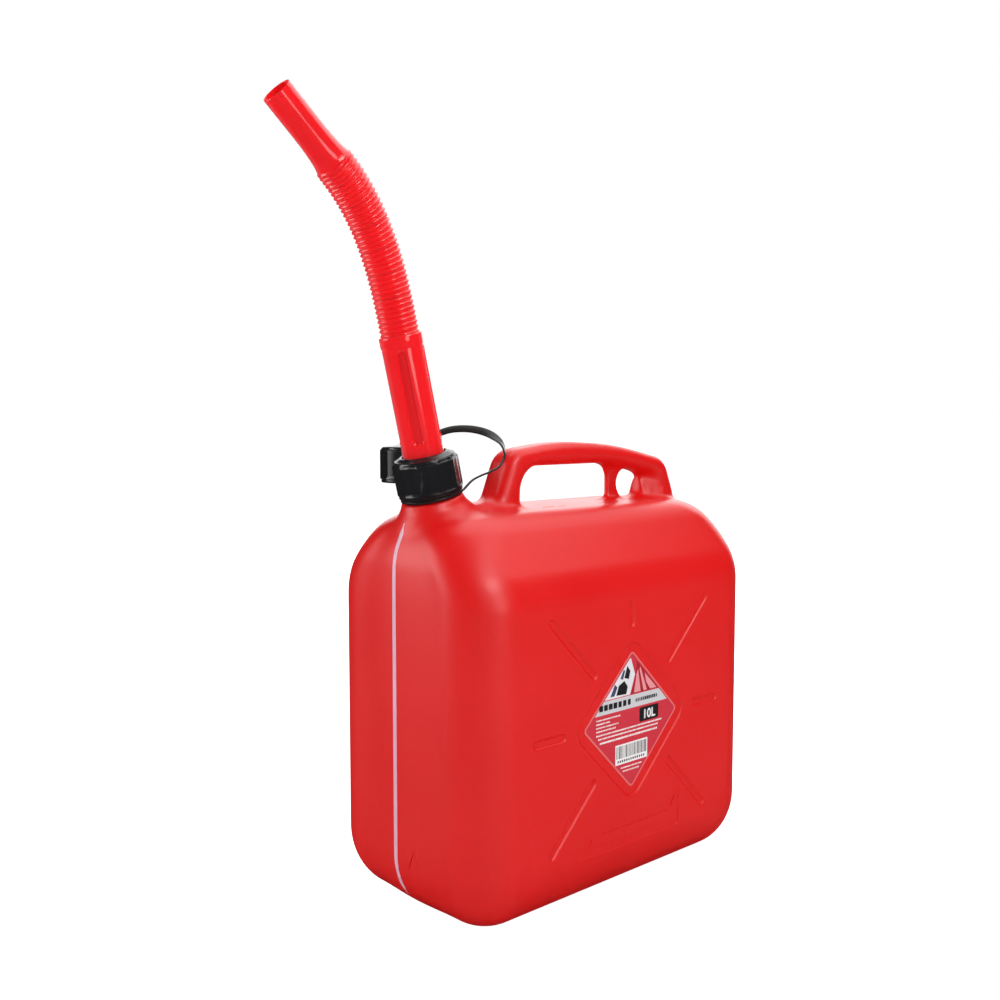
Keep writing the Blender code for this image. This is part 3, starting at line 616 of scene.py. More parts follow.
def join_top_to_sides(top):
    """The fused top, trimmed at the seam height, bridged to the smooth lower walls and base."""
    bm = bmesh.new()
    bm.from_mesh(top.data)
    everything = bm.verts[:] + bm.edges[:] + bm.faces[:]
    bmesh.ops.bisect_plane(
        bm, geom=everything, plane_co=(0, 0, SEAM_Z), plane_no=(0, 0, 1), clear_inner=True
    )
    rim = [e for e in bm.edges if len(e.link_faces) == 1]
    levels = [body_ring(*level) for level in base_levels()]
    wall = (HALF_LENGTH, HALF_WIDTH, CORNER)
    levels.append(body_ring(*wall, SEAM_Z - 1.2 * MM))
    made = [[bm.verts.new(point) for point in ring] for ring in levels]
    for low, high in zip(made, made[1:]):
        for j in range(len(low)):
            k = (j + 1) % len(low)
            if (low[j].co - low[k].co).length > 1e-7:
                bm.faces.new((low[j], low[k], high[k], high[j]))
    bm.faces.new(made[0][::-1])
    bm.edges.ensure_lookup_table()
    last = made[-1]
    ring_edges = [bm.edges.get((last[j], last[(j + 1) % len(last)])) for j in range(len(last))]
    ring_edges = [e for e in ring_edges if e is not None]
    bmesh.ops.bridge_loops(bm, edges=rim + ring_edges)
    bpy.data.objects.remove(top, do_unlink=True)
    return new_piece("can_body", bm)


def mark_sharp_edges(piece):
    """Keeps the pressed details crisp and every rolled surface smooth."""
    bm = bmesh.new()
    bm.from_mesh(piece.data)
    for edge in bm.edges:
        edge.smooth = True
        if len(edge.link_faces) == 2:
            turn = edge.calc_face_angle(0)
            middle = (edge.verts[0].co + edge.verts[1].co) / 2
            pressed = abs(middle.y) > HALF_WIDTH - 1.4 * MM and middle.z < SEAM_Z + 2 * MM
            if turn > radians(50) or (pressed and turn > radians(9)):
                edge.smooth = False
    bm.to_mesh(piece.data)
    bm.free()


def shader_group(name, inputs, outputs):
    """An empty shader node group with named float or colour sockets, and its two end nodes."""
    group = bpy.data.node_groups.new(name, "ShaderNodeTree")
    for label, kind, default in inputs:
        socket = group.interface.new_socket(label, in_out="INPUT", socket_type=kind)
        socket.default_value = default
    for label, kind in outputs:
        group.interface.new_socket(label, in_out="OUTPUT", socket_type=kind)
    return group, group.nodes.new("NodeGroupInput"), group.nodes.new("NodeGroupOutput")


def node(tree, kind, **values):
    """A node with its properties and input values set by name."""
    made = tree.nodes.new(kind)
    for key, value in values.items():
        if hasattr(made, key):
            setattr(made, key, value)
        else:
            made.inputs[key.replace("_", " ")].default_value = value
    return made


def moulded_surface_group():
    """Fine grain, slow colour drift, scuffs and dust of moulded plastic, for every plastic piece here."""
    colour = "NodeSocketColor"
    number = "NodeSocketFloat"
    group, start, end = shader_group(
        "moulded_surface",
        (
            ("Colour", colour, (0.5, 0.5, 0.5, 1)),
            ("Worn Colour", colour, (0.6, 0.6, 0.6, 1)),
            ("Roughness", number, 0.4),
            ("Grain Size", number, 900.0),
            ("Grain Depth", number, 0.2),
            ("Drift", number, 0.06),
            ("Scuffs", number, 0.15),
        ),
        (("Colour", colour), ("Roughness", number), ("Height", number)),
    )
    links = group.links
    place = node(group, "ShaderNodeTexCoord")
    grain = node(group, "ShaderNodeTexNoise", Detail=3.0, Roughness=0.6)
    links.new(place.outputs["Object"], grain.inputs["Vector"])
    links.new(start.outputs["Grain Size"], grain.inputs["Scale"])
    slow = node(group, "ShaderNodeTexNoise", Scale=16.0, Detail=2.0)
    links.new(place.outputs["Object"], slow.inputs["Vector"])
    stretch = node(group, "ShaderNodeMapping")
    stretch.inputs["Scale"].default_value = (240, 240, 26)
    stretch.inputs["Rotation"].default_value = (0.5, 0.9, 0.2)
    links.new(place.outputs["Object"], stretch.inputs["Vector"])
    scratch = node(group, "ShaderNodeTexNoise", Scale=1.0, Detail=2.0, Roughness=0.5)
    links.new(stretch.outputs[0], scratch.inputs["Vector"])
    thin = node(group, "ShaderNodeMapRange")
    thin.inputs["From Min"].default_value = 0.70
    thin.inputs["From Max"].default_value = 0.80
    links.new(scratch.outputs["Fac"], thin.inputs["Value"])
    worn = node(group, "ShaderNodeMath", operation="MULTIPLY")
    links.new(thin.outputs[0], worn.inputs[0])
    links.new(start.outputs["Scuffs"], worn.inputs[1])
    drifted = node(group, "ShaderNodeMath", operation="MULTIPLY_ADD")
    centred = node(group, "ShaderNodeMath", operation="SUBTRACT")
    centred.inputs[1].default_value = 0.5
    links.new(slow.outputs["Fac"], centred.inputs[0])
    links.new(centred.outputs[0], drifted.inputs[0])
    links.new(start.outputs["Drift"], drifted.inputs[1])
    drifted.inputs[2].default_value = 1.0
    shade = node(group, "ShaderNodeMix", data_type="RGBA", blend_type="MULTIPLY")
    shade.inputs[0].default_value = 1.0
    links.new(start.outputs["Colour"], shade.inputs[6])
    links.new(drifted.outputs[0], shade.inputs[7])
    mixed = node(group, "ShaderNodeMix", data_type="RGBA")
    links.new(worn.outputs[0], mixed.inputs[0])
    links.new(shade.outputs[2], mixed.inputs[6])
    links.new(start.outputs["Worn Colour"], mixed.inputs[7])
    links.new(mixed.outputs[2], end.inputs["Colour"])
    gloss = node(group, "ShaderNodeMath", operation="MULTIPLY_ADD")
    links.new(centred.outputs[0], gloss.inputs[0])
    gloss.inputs[1].default_value = 0.12
    links.new(start.outputs["Roughness"], gloss.inputs[2])
    duller = node(group, "ShaderNodeMath", operation="MULTIPLY_ADD")
    links.new(worn.outputs[0], duller.inputs[0])
    duller.inputs[1].default_value = 0.25
    links.new(gloss.outputs[0], duller.inputs[2])
    links.new(duller.outputs[0], end.inputs["Roughness"])
    depth = node(group, "ShaderNodeMath", operation="MULTIPLY")
    links.new(grain.outputs["Fac"], depth.inputs[0])
    links.new(start.outputs["Grain Depth"], depth.inputs[1])
    links.new(depth.outputs[0], end.inputs["Height"])
    return group


moulded_surface = moulded_surface_group()


def plastic(name, colour, worn, roughness, grain, drift, scuffs, shine, **extra):
    """A moulded plastic. grain is its pattern's size and depth, shine its specular level."""
    material = bpy.data.materials.new(name)
    material.use_nodes = True
    tree = material.node_tree
    shader = tree.nodes["Principled BSDF"]
    surface = tree.nodes.new("ShaderNodeGroup")
    surface.node_tree = moulded_surface
    surface.inputs["Colour"].default_value = (*colour, 1)
    surface.inputs["Worn Colour"].default_value = (*worn, 1)
    surface.inputs["Roughness"].default_value = roughness
    surface.inputs["Grain Size"].default_value = grain[0]
    surface.inputs["Grain Depth"].default_value = grain[1]
    surface.inputs["Drift"].default_value = drift
    surface.inputs["Scuffs"].default_value = scuffs
    bump = tree.nodes.new("ShaderNodeBump")
    bump.inputs["Distance"].default_value = 0.0001
    bump.inputs["Strength"].default_value = 1.0
    tree.links.new(surface.outputs["Colour"], shader.inputs["Base Color"])
    tree.links.new(surface.outputs["Roughness"], shader.inputs["Roughness"])
    tree.links.new(surface.outputs["Height"], bump.inputs["Height"])
    tree.links.new(bump.outputs[0], shader.inputs["Normal"])
    shader.inputs["Specular IOR Level"].default_value = shine
    for socket, value in extra.items():
        shader.inputs[socket.replace("_", " ")].default_value = value
    return material


can_red = plastic(
    "can_red",
    (0.74, 0.0065, 0.0065),
    (0.80, 0.10, 0.09),
    0.36,
    grain=(1500.0, 0.22),
    drift=0.10,
    scuffs=0.05,
    shine=0.42,
)
can_top = top_solid()
fill_creases(can_top, 44, 214 * MM)
can_body = join_top_to_sides(can_top)
cut(can_body, side_details())
cut(can_body, mark_cutters())
mark_sharp_edges(can_body)
can_body.data.materials.clear()
can_body.data.materials.append(can_red)
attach(can_body, "can")
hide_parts("can_base", "can_sides", "can_top", "can_handle", "can_neck")


# Neck: the threaded mouth above the flare, blown with the can and trimmed flat for the gasket.

NECK_RADIUS = 18 * MM
NECK_LIP = 17.6 * MM
THREAD_PITCH = 6 * MM


def thread_ridge(name, radius, height, start, turns, inward=False):
    """A helical ridge with a rounded crest. Its root is sunk a little into the wall it stands on."""
    steps = round(turns * 60)
    out = -1 if inward else 1
    rings = []
    for step in range(steps + 1):
        angle = 2 * pi * step / 60
        rise = start + THREAD_PITCH * step / 60
        fade = min(1, 8 * step / steps, 8 * (steps - step) / steps)
        section = ((-0.5, -1.3), (0.2, -1.2), (0.8, -0.7), (1, 0), (0.8, 0.7), (0.2, 1.2), (-0.5, 1.3))
        ring = []
        for share, h in section:
            stand = height * share * fade if share > 0 else height * share
            r = radius + out * stand
            ring.append(Vector((r * cos(angle), r * sin(angle), rise + h * MM)))
        rings.append(ring)
    return new_piece(name, skin(rings))


neck_profile = (
    (15.2 * MM, -4 * MM),
    (NECK_RADIUS, -4 * MM),
    (NECK_RADIUS, NECK_LIP - 0.8 * MM),
    (NECK_RADIUS - 0.3 * MM, NECK_LIP - 0.2 * MM),
    (NECK_RADIUS - 0.8 * MM, NECK_LIP),
    (15.8 * MM, NECK_LIP),
    (15.2 * MM, NECK_LIP - 0.6 * MM),
)
neck = new_piece("neck_mouth", turned(neck_profile, 128, looped=True))
cut(neck, thread_ridge("neck_thread", NECK_RADIUS, 1.2 * MM, 3.4 * MM, 1.75), "UNION")
neck.data.transform(neck_place)
neck.data.materials.clear()
neck.data.materials.append(can_red)
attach(neck, "can")


# Sight stripe: undyed polyethylene, let into the wall during blowing so that the level can be seen. It
# runs down the middle of the spout end from the neck's foot to the base.

STRIPE_HALF = 1.9 * MM
natural_white = plastic(
    "stripe_natural",
    (0.86, 0.44, 0.55),
    (0.90, 0.60, 0.66),
    0.34,
    grain=(1300.0, 0.3),
    drift=0.22,
    scuffs=0.10,
    shine=0.45,
    Subsurface_Weight=0.35,
    Subsurface_Scale=0.004,
)


def ribbon_on_line(name, line, half_width, proud, across=5):
    """A low ribbon along (x, z) points of the middle section, feathered to nothing at its edges."""
    rings = []
    for i, (x, z) in enumerate(line):
        before = Vector(line[max(i - 1, 0)])
        after = Vector(line[min(i + 1, len(line) - 1)])
        along = (after - before).normalized()
        out = Vector((-along.y, along.x))
        taper = min(1, i / 3, (len(line) - 1 - i) / 3)
        ring = []
        for step in range(-across, across + 1):
            share = step / across
            rise = proud * (1 - share ** 4) - 0.04 * MM
            y = half_width * share * max(taper, 0.25)
            ring.append(Vector((x + out.x * rise, y, z + out.y * rise)))
        deep = Vector((x, 0, z)) - Vector((out.x, 0, out.y)) * 0.5 * MM
        ring.append(deep + Vector((0, half_width * 0.8 * max(taper, 0.25), 0)))
        ring.append(deep - Vector((0, half_width * 0.8 * max(taper, 0.25), 0)))
        rings.append(ring)
    return new_piece(name, skin(rings))


def evened(line, pitch):
    """Points at an even pitch along a line of (x, z) points."""
    points = [Vector(p) for p in line]
    done = [points[0]]
    for point in points[1:]:
        while (point - done[-1]).length >= pitch:
            done.append(done[-1] + (point - done[-1]).normalized() * pitch)
    return [(p.x, p.y) for p in done]


def wall_line(low, high, pitch):
    """(x, z) points on the shell's own skin down the middle of the spout end."""
    line = []
    for step in range(int((high - low) / pitch) + 1):
        height = low + step * pitch
        found, place, _, _ = can_body.ray_cast(Vector((-0.3, 0.0003, height)), Vector((1, 0, 0)))
        if found:
            line.append((place.x, height))
    return evened(line, 2.4 * MM)


stripe = ribbon_on_line("sight_stripe", wall_line(13 * MM, 263 * MM, 1 * MM), STRIPE_HALF, 0.16 * MM)
stripe.data.materials.append(natural_white)
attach(stripe, "can")
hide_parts("view_stripe")


# Label: a diamond of printed film in the recess. It has a picture area, a grey title band, rows of
# small print, a black badge with the capacity and a white code panel, all without real words.

LABEL_BACK = -(HALF_WIDTH - 1.04 * MM)
FILM = 0.2 * MM
PRINT_LAYER = 0.03 * MM
LABEL_HALF = 48 * MM
PRINT_HALF = 46


def film(name, colour):
    return plastic(name, colour, (0.6, 0.6, 0.6), 0.3, (2500.0, 0.1), 0.05, 0.05, 0.45)


label_inks = {
    "rim": film("label_rim", (0.74, 0.16, 0.16)),
    "red": film("label_red", (0.62, 0.030, 0.050)),
    "deep": film("label_deep_red", (0.42, 0.012, 0.022)),
    "pink": film("label_pink", (0.80, 0.30, 0.33)),
    "grey": film("label_grey", (0.60, 0.60, 0.62)),
    "pale": film("label_pale", (0.75, 0.74, 0.77)),
    "white": film("label_white", (0.86, 0.85, 0.85)),
    "navy": film("label_navy", (0.05, 0.06, 0.14)),
    "black": film("label_black", (0.016, 0.016, 0.018)),
}
ink_order = list(label_inks)
label_bm = bmesh.new()


def print_area(points, ink, level):
    """A thin printed area given by its (x, z) points in millimetres from the middle of the diamond."""
    low = LABEL_BACK - FILM - (level - 1) * PRINT_LAYER if level else LABEL_BACK
    high = LABEL_BACK - FILM - level * PRINT_LAYER
    rings = [[Vector((x * MM, y, DIAMOND_Z + z * MM)) for x, z in points] for y in (low, high)]
    made = [[label_bm.verts.new(point) for point in ring] for ring in rings]
    faces = [label_bm.faces.new(made[0]), label_bm.faces.new(made[1])]
    for j in range(len(points)):
        k = (j + 1) % len(points)
        faces.append(label_bm.faces.new((made[0][j], made[0][k], made[1][k], made[1][j])))
    for face in faces:
        face.material_index = ink_order.index(ink)


def diamond_slice(low, high, half):
    """The part of the diamond between two heights, in millimetres."""
    points = [(half - abs(low), low)]
    if low < 0 < high:
        points.append((half, 0))
    points.append((half - abs(high), high))
    return points + [(-x, z) for x, z in reversed(points) if x > 0.01]


def box_points(left, right, low, high, cut_corner=0.0):
    c = cut_corner
    if not c:
        return [(left, low), (right, low), (right, high), (left, high)]
    corners = [(left, low, c), (right, low, c), (right, high, c), (left, high, c)]
    return [(p.x, p.y) for p in rounded(corners, 4)]


print_area([(p.x / MM, p.y / MM) for p in diamond(LABEL_HALF, 3 * MM, 0)], "rim", 0)
print_area([(p.x / MM, p.y / MM) for p in diamond(LABEL_HALF - 1.7 * MM, 2.2 * MM, 0)], "red", 1)
print_area(diamond_slice(8, 17, PRINT_HALF - 0.8), "grey", 2)
print_area([(-27.5, 17.6), (-2, 17.6), (3, 31), (-1.5, 43), (-3, 42)], "pale", 2)
print_area([(-1, 17.6), (27.6, 17.6), (5, 40.2), (3.6, 31)], "deep", 2)
for corners in (
    ((2, 18.2), (9, 18.2), (6, 34), (4.5, 31)),
    ((12, 18.2), (15.5, 18.2), (8.5, 35.5), (7.6, 33.5)),
    ((19, 18.2), (25.8, 18.2), (13, 30.6), (14.6, 24)),
):
    print_area(corners, "pink", 3)
for corners in (
    ((-16, 19), (-6, 18.6), (-4.5, 23.5), (-8, 28), (-13.5, 25.5)),
    ((-8, 30), (-3.5, 28.6), (-2, 34), (-5, 38)),
):
    print_area(corners, "black", 3)
print_area(((-22, 19), (-18, 19), (-15, 24.6), (-17.5, 27)), "navy", 3)
print_area(((-12, 30), (-9.5, 29), (-7.4, 34.6), (-8.6, 36)), "navy", 3)
print_area(box_points(8, 28, -3.5, 6.5, 1.4), "black", 2)
print_area(box_points(-16.5, 16.5, -29.5, -15.6), "white", 2)


def geometry_tree(name, inputs):
    """An empty geometry node tree with named inputs, and its two end nodes."""
    tree = bpy.data.node_groups.new(name, "GeometryNodeTree")
    tree.interface.new_socket("Geometry", in_out="INPUT", socket_type="NodeSocketGeometry")
    for label, kind in inputs:
        tree.interface.new_socket(label, in_out="INPUT", socket_type=kind)
    tree.interface.new_socket("Geometry", in_out="OUTPUT", socket_type="NodeSocketGeometry")
    return tree, tree.nodes.new("NodeGroupInput"), tree.nodes.new("NodeGroupOutput")


def run_tree(name, tree, values, start_mesh=None):
    """An object whose mesh is what the tree makes from named input values."""
    piece = bpy.data.objects.new(name, start_mesh or bpy.data.meshes.new(name))
    bpy.context.scene.collection.objects.link(piece)
    modifier = piece.modifiers.new(tree.name, "NODES")
    modifier.node_group = tree
    for item in tree.interface.items_tree:
        if item.in_out == "INPUT" and item.name in values:
            modifier[item.identifier] = values[item.name]
    piece.update_tag()
    bpy.context.view_layer.update()
    return evaluated(piece)


def math_node(tree, operation, a, b=None):
    """A Math node fed by sockets or numbers. Returns its output."""
    made = tree.nodes.new("ShaderNodeMath")
    made.operation = operation
    for socket, value in zip(made.inputs, (a, b)):
        if isinstance(value, bpy.types.NodeSocket):
            tree.links.new(value, socket)
        elif value is not None:
            socket.default_value = value
    return made.outputs[0]


def bar_row_tree():
    """A row of upright bars of uneven widths, for small print and for the code panel."""
    tree, start, end = geometry_tree(
        "bar_row",
        (
            ("Count", "NodeSocketInt"),
            ("Start", "NodeSocketVector"),
            ("Step", "NodeSocketVector"),
            ("Least Width", "NodeSocketFloat"),
            ("Most Width", "NodeSocketFloat"),
            ("Bar Height", "NodeSocketFloat"),
            ("Thickness", "NodeSocketFloat"),
            ("Seed", "NodeSocketInt"),
            ("Material", "NodeSocketMaterial"),
        ),
    )
    line = tree.nodes.new("GeometryNodeMeshLine")
    bar = tree.nodes.new("GeometryNodeMeshCube")
    width = tree.nodes.new("FunctionNodeRandomValue")
    size = tree.nodes.new("ShaderNodeCombineXYZ")
    copies = tree.nodes.new("GeometryNodeInstanceOnPoints")
    real = tree.nodes.new("GeometryNodeRealizeInstances")
    paint = tree.nodes.new("GeometryNodeSetMaterial")
    bar.inputs["Size"].default_value = (1, 1, 1)
    floats = [socket for socket in width.inputs if socket.type == "VALUE"]
    tree.links.new(start.outputs["Count"], line.inputs["Count"])
    tree.links.new(start.outputs["Start"], line.inputs["Start Location"])
    tree.links.new(start.outputs["Step"], line.inputs["Offset"])
    tree.links.new(start.outputs["Least Width"], floats[0])
    tree.links.new(start.outputs["Most Width"], floats[1])
    tree.links.new(start.outputs["Seed"], width.inputs["Seed"])
    tree.links.new([s for s in width.outputs if s.type == "VALUE"][0], size.inputs["X"])
    tree.links.new(start.outputs["Thickness"], size.inputs["Y"])
    tree.links.new(start.outputs["Bar Height"], size.inputs["Z"])
    tree.links.new(line.outputs["Mesh"], copies.inputs["Points"])
    tree.links.new(bar.outputs["Mesh"], copies.inputs["Instance"])
    tree.links.new(size.outputs[0], copies.inputs["Scale"])
    tree.links.new(copies.outputs[0], real.inputs[0])
    tree.links.new(real.outputs[0], paint.inputs["Geometry"])
    tree.links.new(start.outputs["Material"], paint.inputs["Material"])
    tree.links.new(paint.outputs[0], end.inputs[0])
    return tree


bar_rows = bar_row_tree()

# Each row: ink, left end, how many bars, their pitch, least and most width, height above the middle of
# the diamond, the bars' own height, and the layer of print below it. Lengths here are in millimetres.
PRINT_ROWS = (
    ("black", -31.0, 7, 4.7, 2.6, 3.9, 12.6, 4.0, 2),
    ("black", 4.4, 12, 1.95, 1.0, 1.7, 12.6, 2.4, 2),
    ("white", -35.0, 16, 1.5, 0.7, 1.4, 4.9, 0.9, 1),
    ("white", -35.0, 9, 1.5, 0.7, 1.4, 2.4, 0.9, 1),
    ("white", -35.0, 15, 1.5, 0.7, 1.4, -0.1, 0.9, 1),
    ("white", -35.0, 13, 1.5, 0.7, 1.4, -2.6, 0.9, 1),
    ("white", -35.0, 45, 1.5, 0.8, 1.45, -5.4, 1.0, 1),
    ("white", -33.0, 41, 1.5, 0.8, 1.45, -8.0, 1.0, 1),
    ("white", -31.5, 37, 1.6, 1.0, 1.6, -11.0, 1.3, 1),
    ("black", -15.0, 22, 1.42, 0.3, 0.95, -21.0, 8.6, 2),
    ("black", -13.6, 13, 2.2, 1.0, 1.5, -27.4, 1.5, 2),
    ("white", -10.4, 15, 1.45, 0.7, 1.3, -32.2, 0.9, 1),
    ("white", -8.2, 12, 1.4, 0.7, 1.3, -34.8, 0.9, 1),
)
for seed, (ink, left, count, pitch, least, most, z, height, level) in enumerate(PRINT_ROWS):
    y = LABEL_BACK - FILM - (level + 0.5) * PRINT_LAYER
    made = run_tree(
        "print_row",
        bar_rows,
        {
            "Count": count,
            "Start": (left * MM, y, DIAMOND_Z + z * MM),
            "Step": (pitch * MM, 0, 0),
            "Least Width": least * MM,
            "Most Width": most * MM,
            "Bar Height": height * MM,
            "Thickness": PRINT_LAYER,
            "Seed": seed,
            "Material": label_inks[ink],
        },
    )
    first = len(label_bm.faces)
    label_bm.from_mesh(made.data)
    label_bm.faces.ensure_lookup_table()
    for face in label_bm.faces[first:]:
        face.material_index = ink_order.index(ink)
    bpy.data.objects.remove(made, do_unlink=True)

capacity = bpy.data.curves.new("capacity", "FONT")
capacity.body = "10L"
capacity.size = 8.9 * MM
capacity.offset = 0.22 * MM
capacity.extrude = 0.02 * MM
capacity.align_x = "CENTER"
badge_text = bpy.data.objects.new("capacity", capacity)
bpy.context.scene.collection.objects.link(badge_text)
text_mesh = bpy.data.meshes.new_from_object(
    badge_text.evaluated_get(bpy.context.evaluated_depsgraph_get())
)
text_place = Matrix.Translation((18 * MM, LABEL_BACK - FILM - 0.075 * MM, DIAMOND_Z - 1.7 * MM))
text_mesh.transform(text_place @ Matrix.Rotation(pi / 2, 4, "X"))
first = len(label_bm.faces)
label_bm.from_mesh(text_mesh)
label_bm.faces.ensure_lookup_table()
for face in label_bm.faces[first:]:
    face.material_index = ink_order.index("white")
bpy.data.objects.remove(badge_text, do_unlink=True)
label = new_piece("label", label_bm, smooth=False)
for ink in label_inks.values():
    label.data.materials.append(ink)
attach(label, "can")
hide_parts("side_label")


# Gasket: a flat ring of black rubber on the neck's lip, pressed by the spout's flange.

rubber = plastic(
    "seal_rubber", (0.022, 0.022, 0.023), (0.10, 0.10, 0.10), 0.62, (700.0, 0.6), 0.25, 0.2, 0.35
)
gasket_low = NECK_LIP + 0.3 * MM
gasket_profile = (
    (15.4 * MM, gasket_low + 0.3 * MM),
    (15.7 * MM, gasket_low),
    (17.5 * MM, gasket_low),
    (17.8 * MM, gasket_low + 0.3 * MM),
    (17.8 * MM, gasket_low + 1.2 * MM),
    (17.5 * MM, gasket_low + 1.5 * MM),
    (15.7 * MM, gasket_low + 1.5 * MM),
    (15.4 * MM, gasket_low + 1.2 * MM),
)
gasket = new_piece("gasket", turned(gasket_profile, 96, looped=True), neck_place)
gasket.data.materials.append(rubber)
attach(gasket, "gasket")
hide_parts("neck_gasket")


# Collar: an injection-moulded nut of glossy black polypropylene, with ten shallow scallops for the
# fingers, a plain band below them and a conical top that closes on the spout.

COLLAR_RADIUS = 22 * MM
COLLAR_BORE = 19.6 * MM
COLLAR_HEIGHT = 25 * MM
TUBE_RADIUS = 13.8 * MM
black_gloss = plastic(
    "cap_black",
    (0.011, 0.011, 0.0125),
    (0.10, 0.10, 0.11),
    0.23,
    grain=(1100.0, 0.22),
    drift=0.25,
    scuffs=0.30,
    shine=0.5,
)


def smoothed(low, high, value):
    share = min(max((value - low) / (high - low), 0), 1)
    return share * share * (3 - 2 * share)


def fluted(profile, sides=320, flutes=10, depth=1.0 * MM, low=2.6 * MM, high=21.5 * MM):
    """A turned skin whose outer wall is scalloped between two heights."""
    rings = []
    for radius, height in profile:
        outer = smoothed(COLLAR_BORE + 0.8 * MM, COLLAR_BORE + 1.6 * MM, radius)
        mask = smoothed(low, low + 1.2 * MM, height) * outer
        mask *= 1 - 0.15 * smoothed(high, high + 3 * MM, height)
        ring = []
        for step in range(sides):
            angle = 2 * pi * step / sides
            wave = min(1, abs(sin(flutes * angle / 2)) ** 0.7 * 1.12)
            r = radius - depth * wave * mask
            ring.append(Vector((r * cos(angle), r * sin(angle), height)))
        rings.append(ring)
    return skin(rings, True, True)


def stepped(profile, pitch):
    """The profile with extra points, so that no run is longer than the pitch."""
    done = []
    for a, b in zip(profile, profile[1:] + profile[:1]):
        count = max(1, round((Vector(b) - Vector(a)).length / pitch))
        done += [tuple(Vector(a).lerp(Vector(b), step / count)) for step in range(count)]
    return done


def arc(centre, radius, start, end, steps=5):
    """(radius, height) points of a quarter turn or less, for the round of an edge. Angles in degrees."""
    points = []
    for step in range(steps + 1):
        angle = radians(start + (end - start) * step / steps)
        points.append((centre[0] + radius * cos(angle), centre[1] + radius * sin(angle)))
    return points


collar_profile = [
    (COLLAR_BORE + 0.5 * MM, 0.3 * MM),
    (COLLAR_BORE + 0.8 * MM, 0),
    *arc((COLLAR_RADIUS - 1.1 * MM, 0.5 * MM), 0.5 * MM, -90, 0),
    (COLLAR_RADIUS - 0.6 * MM, 2.1 * MM),
    *arc((COLLAR_RADIUS - 0.6 * MM, 2.9 * MM), 0.6 * MM, -60, 0),
    *arc((COLLAR_RADIUS - 0.8 * MM, COLLAR_HEIGHT - 3.6 * MM), 0.8 * MM, 0, 45),
    *arc((COLLAR_RADIUS - 2.9 * MM, COLLAR_HEIGHT - 1.2 * MM), 1.2 * MM, 45, 84),
    *arc((TUBE_RADIUS + 1.5 * MM, COLLAR_HEIGHT + 1.3 * MM), 0.6 * MM, 80, 180),
    (TUBE_RADIUS + 0.9 * MM, COLLAR_HEIGHT - 3 * MM),
    (COLLAR_BORE, COLLAR_HEIGHT - 3 * MM),
    (COLLAR_BORE, 1 * MM),
]
collar = new_piece("collar", fluted(stepped(collar_profile, 1.1 * MM)))
cut(collar, thread_ridge("collar_thread", COLLAR_BORE, 1.1 * MM, 6.4 * MM, 1.4, True), "UNION")
collar.data.transform(neck_place)
collar.data.shade_smooth()
collar.data.set_sharp_from_angle(angle=radians(40))
collar.data.materials.clear()
collar.data.materials.append(black_gloss)
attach(collar, "collar")
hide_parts("collar_nut")


# Spout tube: stiff red polyethylene, moulded with the flange that the collar holds down, four long
# slots that stiffen it, and a lip that the bellows snaps into.

TUBE_TOP = 106 * MM
TUBE_FOOT = 19.7 * MM
SLOT_LOW = 38.5 * MM
SLOT_HIGH = TUBE_TOP - 13.4 * MM
SLOT_HALF = 4 * MM
SLOT_DEPTH = 1.9 * MM
NIB_RISE = 0.45 * MM
NIB_ASIDE = 4.4 * MM
NIB_HEIGHT = 36.6 * MM
spout_red = plastic(
    "spout_red",
    (0.93, 0.015, 0.020),
    (0.90, 0.20, 0.19),
    0.12,
    grain=(900.0, 0.10),
    drift=0.12,
    scuffs=0.12,
    shine=0.55,
    Subsurface_Weight=0.3,
    Subsurface_Scale=0.004,
)


def painted_edge_sheen(material, pale, amount):
    """Paints a pale tint into the base colour where the surface is seen edge on: a painted reflection of
    the white surround.
    """
    tree = material.node_tree
    shader = tree.nodes["Principled BSDF"]
    deep = shader.inputs["Base Color"].links[0].from_socket
    edge = tree.nodes.new("ShaderNodeLayerWeight")
    edge.inputs["Blend"].default_value = 0.35
    share = node(tree, "ShaderNodeMapRange", From_Min=0.25, From_Max=0.95, To_Max=amount)
    mixed = node(tree, "ShaderNodeMix", data_type="RGBA")
    mixed.inputs[7].default_value = (*pale, 1)
    tree.links.new(edge.outputs["Facing"], share.inputs["Value"])
    tree.links.new(share.outputs[0], mixed.inputs[0])
    tree.links.new(deep, mixed.inputs[6])
    tree.links.new(mixed.outputs[2], shader.inputs["Base Color"])


# The spout's edges get a painted pink-white sheen, standing in for the white surround reflected there.
painted_edge_sheen(spout_red, (1.0, 0.34, 0.37), 0.5)


def tube_radius(angle, height):
    """The tube's outer radius, with its four pressed slots and the two nibs under each."""
    around = angle % (pi / 2) - pi / 4
    x = around * TUBE_RADIUS
    z = min(max(height, SLOT_LOW), SLOT_HIGH) - height
    reach = sqrt(x * x + z * z)
    slot = SLOT_DEPTH * (1 - smoothed(SLOT_HALF - 0.95 * MM, SLOT_HALF + 0.2 * MM, reach))
    near = sqrt((abs(x) - NIB_ASIDE) ** 2 + (height - NIB_HEIGHT) ** 2)
    nib = NIB_RISE * (1 - smoothed(0.2 * MM, 1.0 * MM, near))
    return TUBE_RADIUS - slot + nib


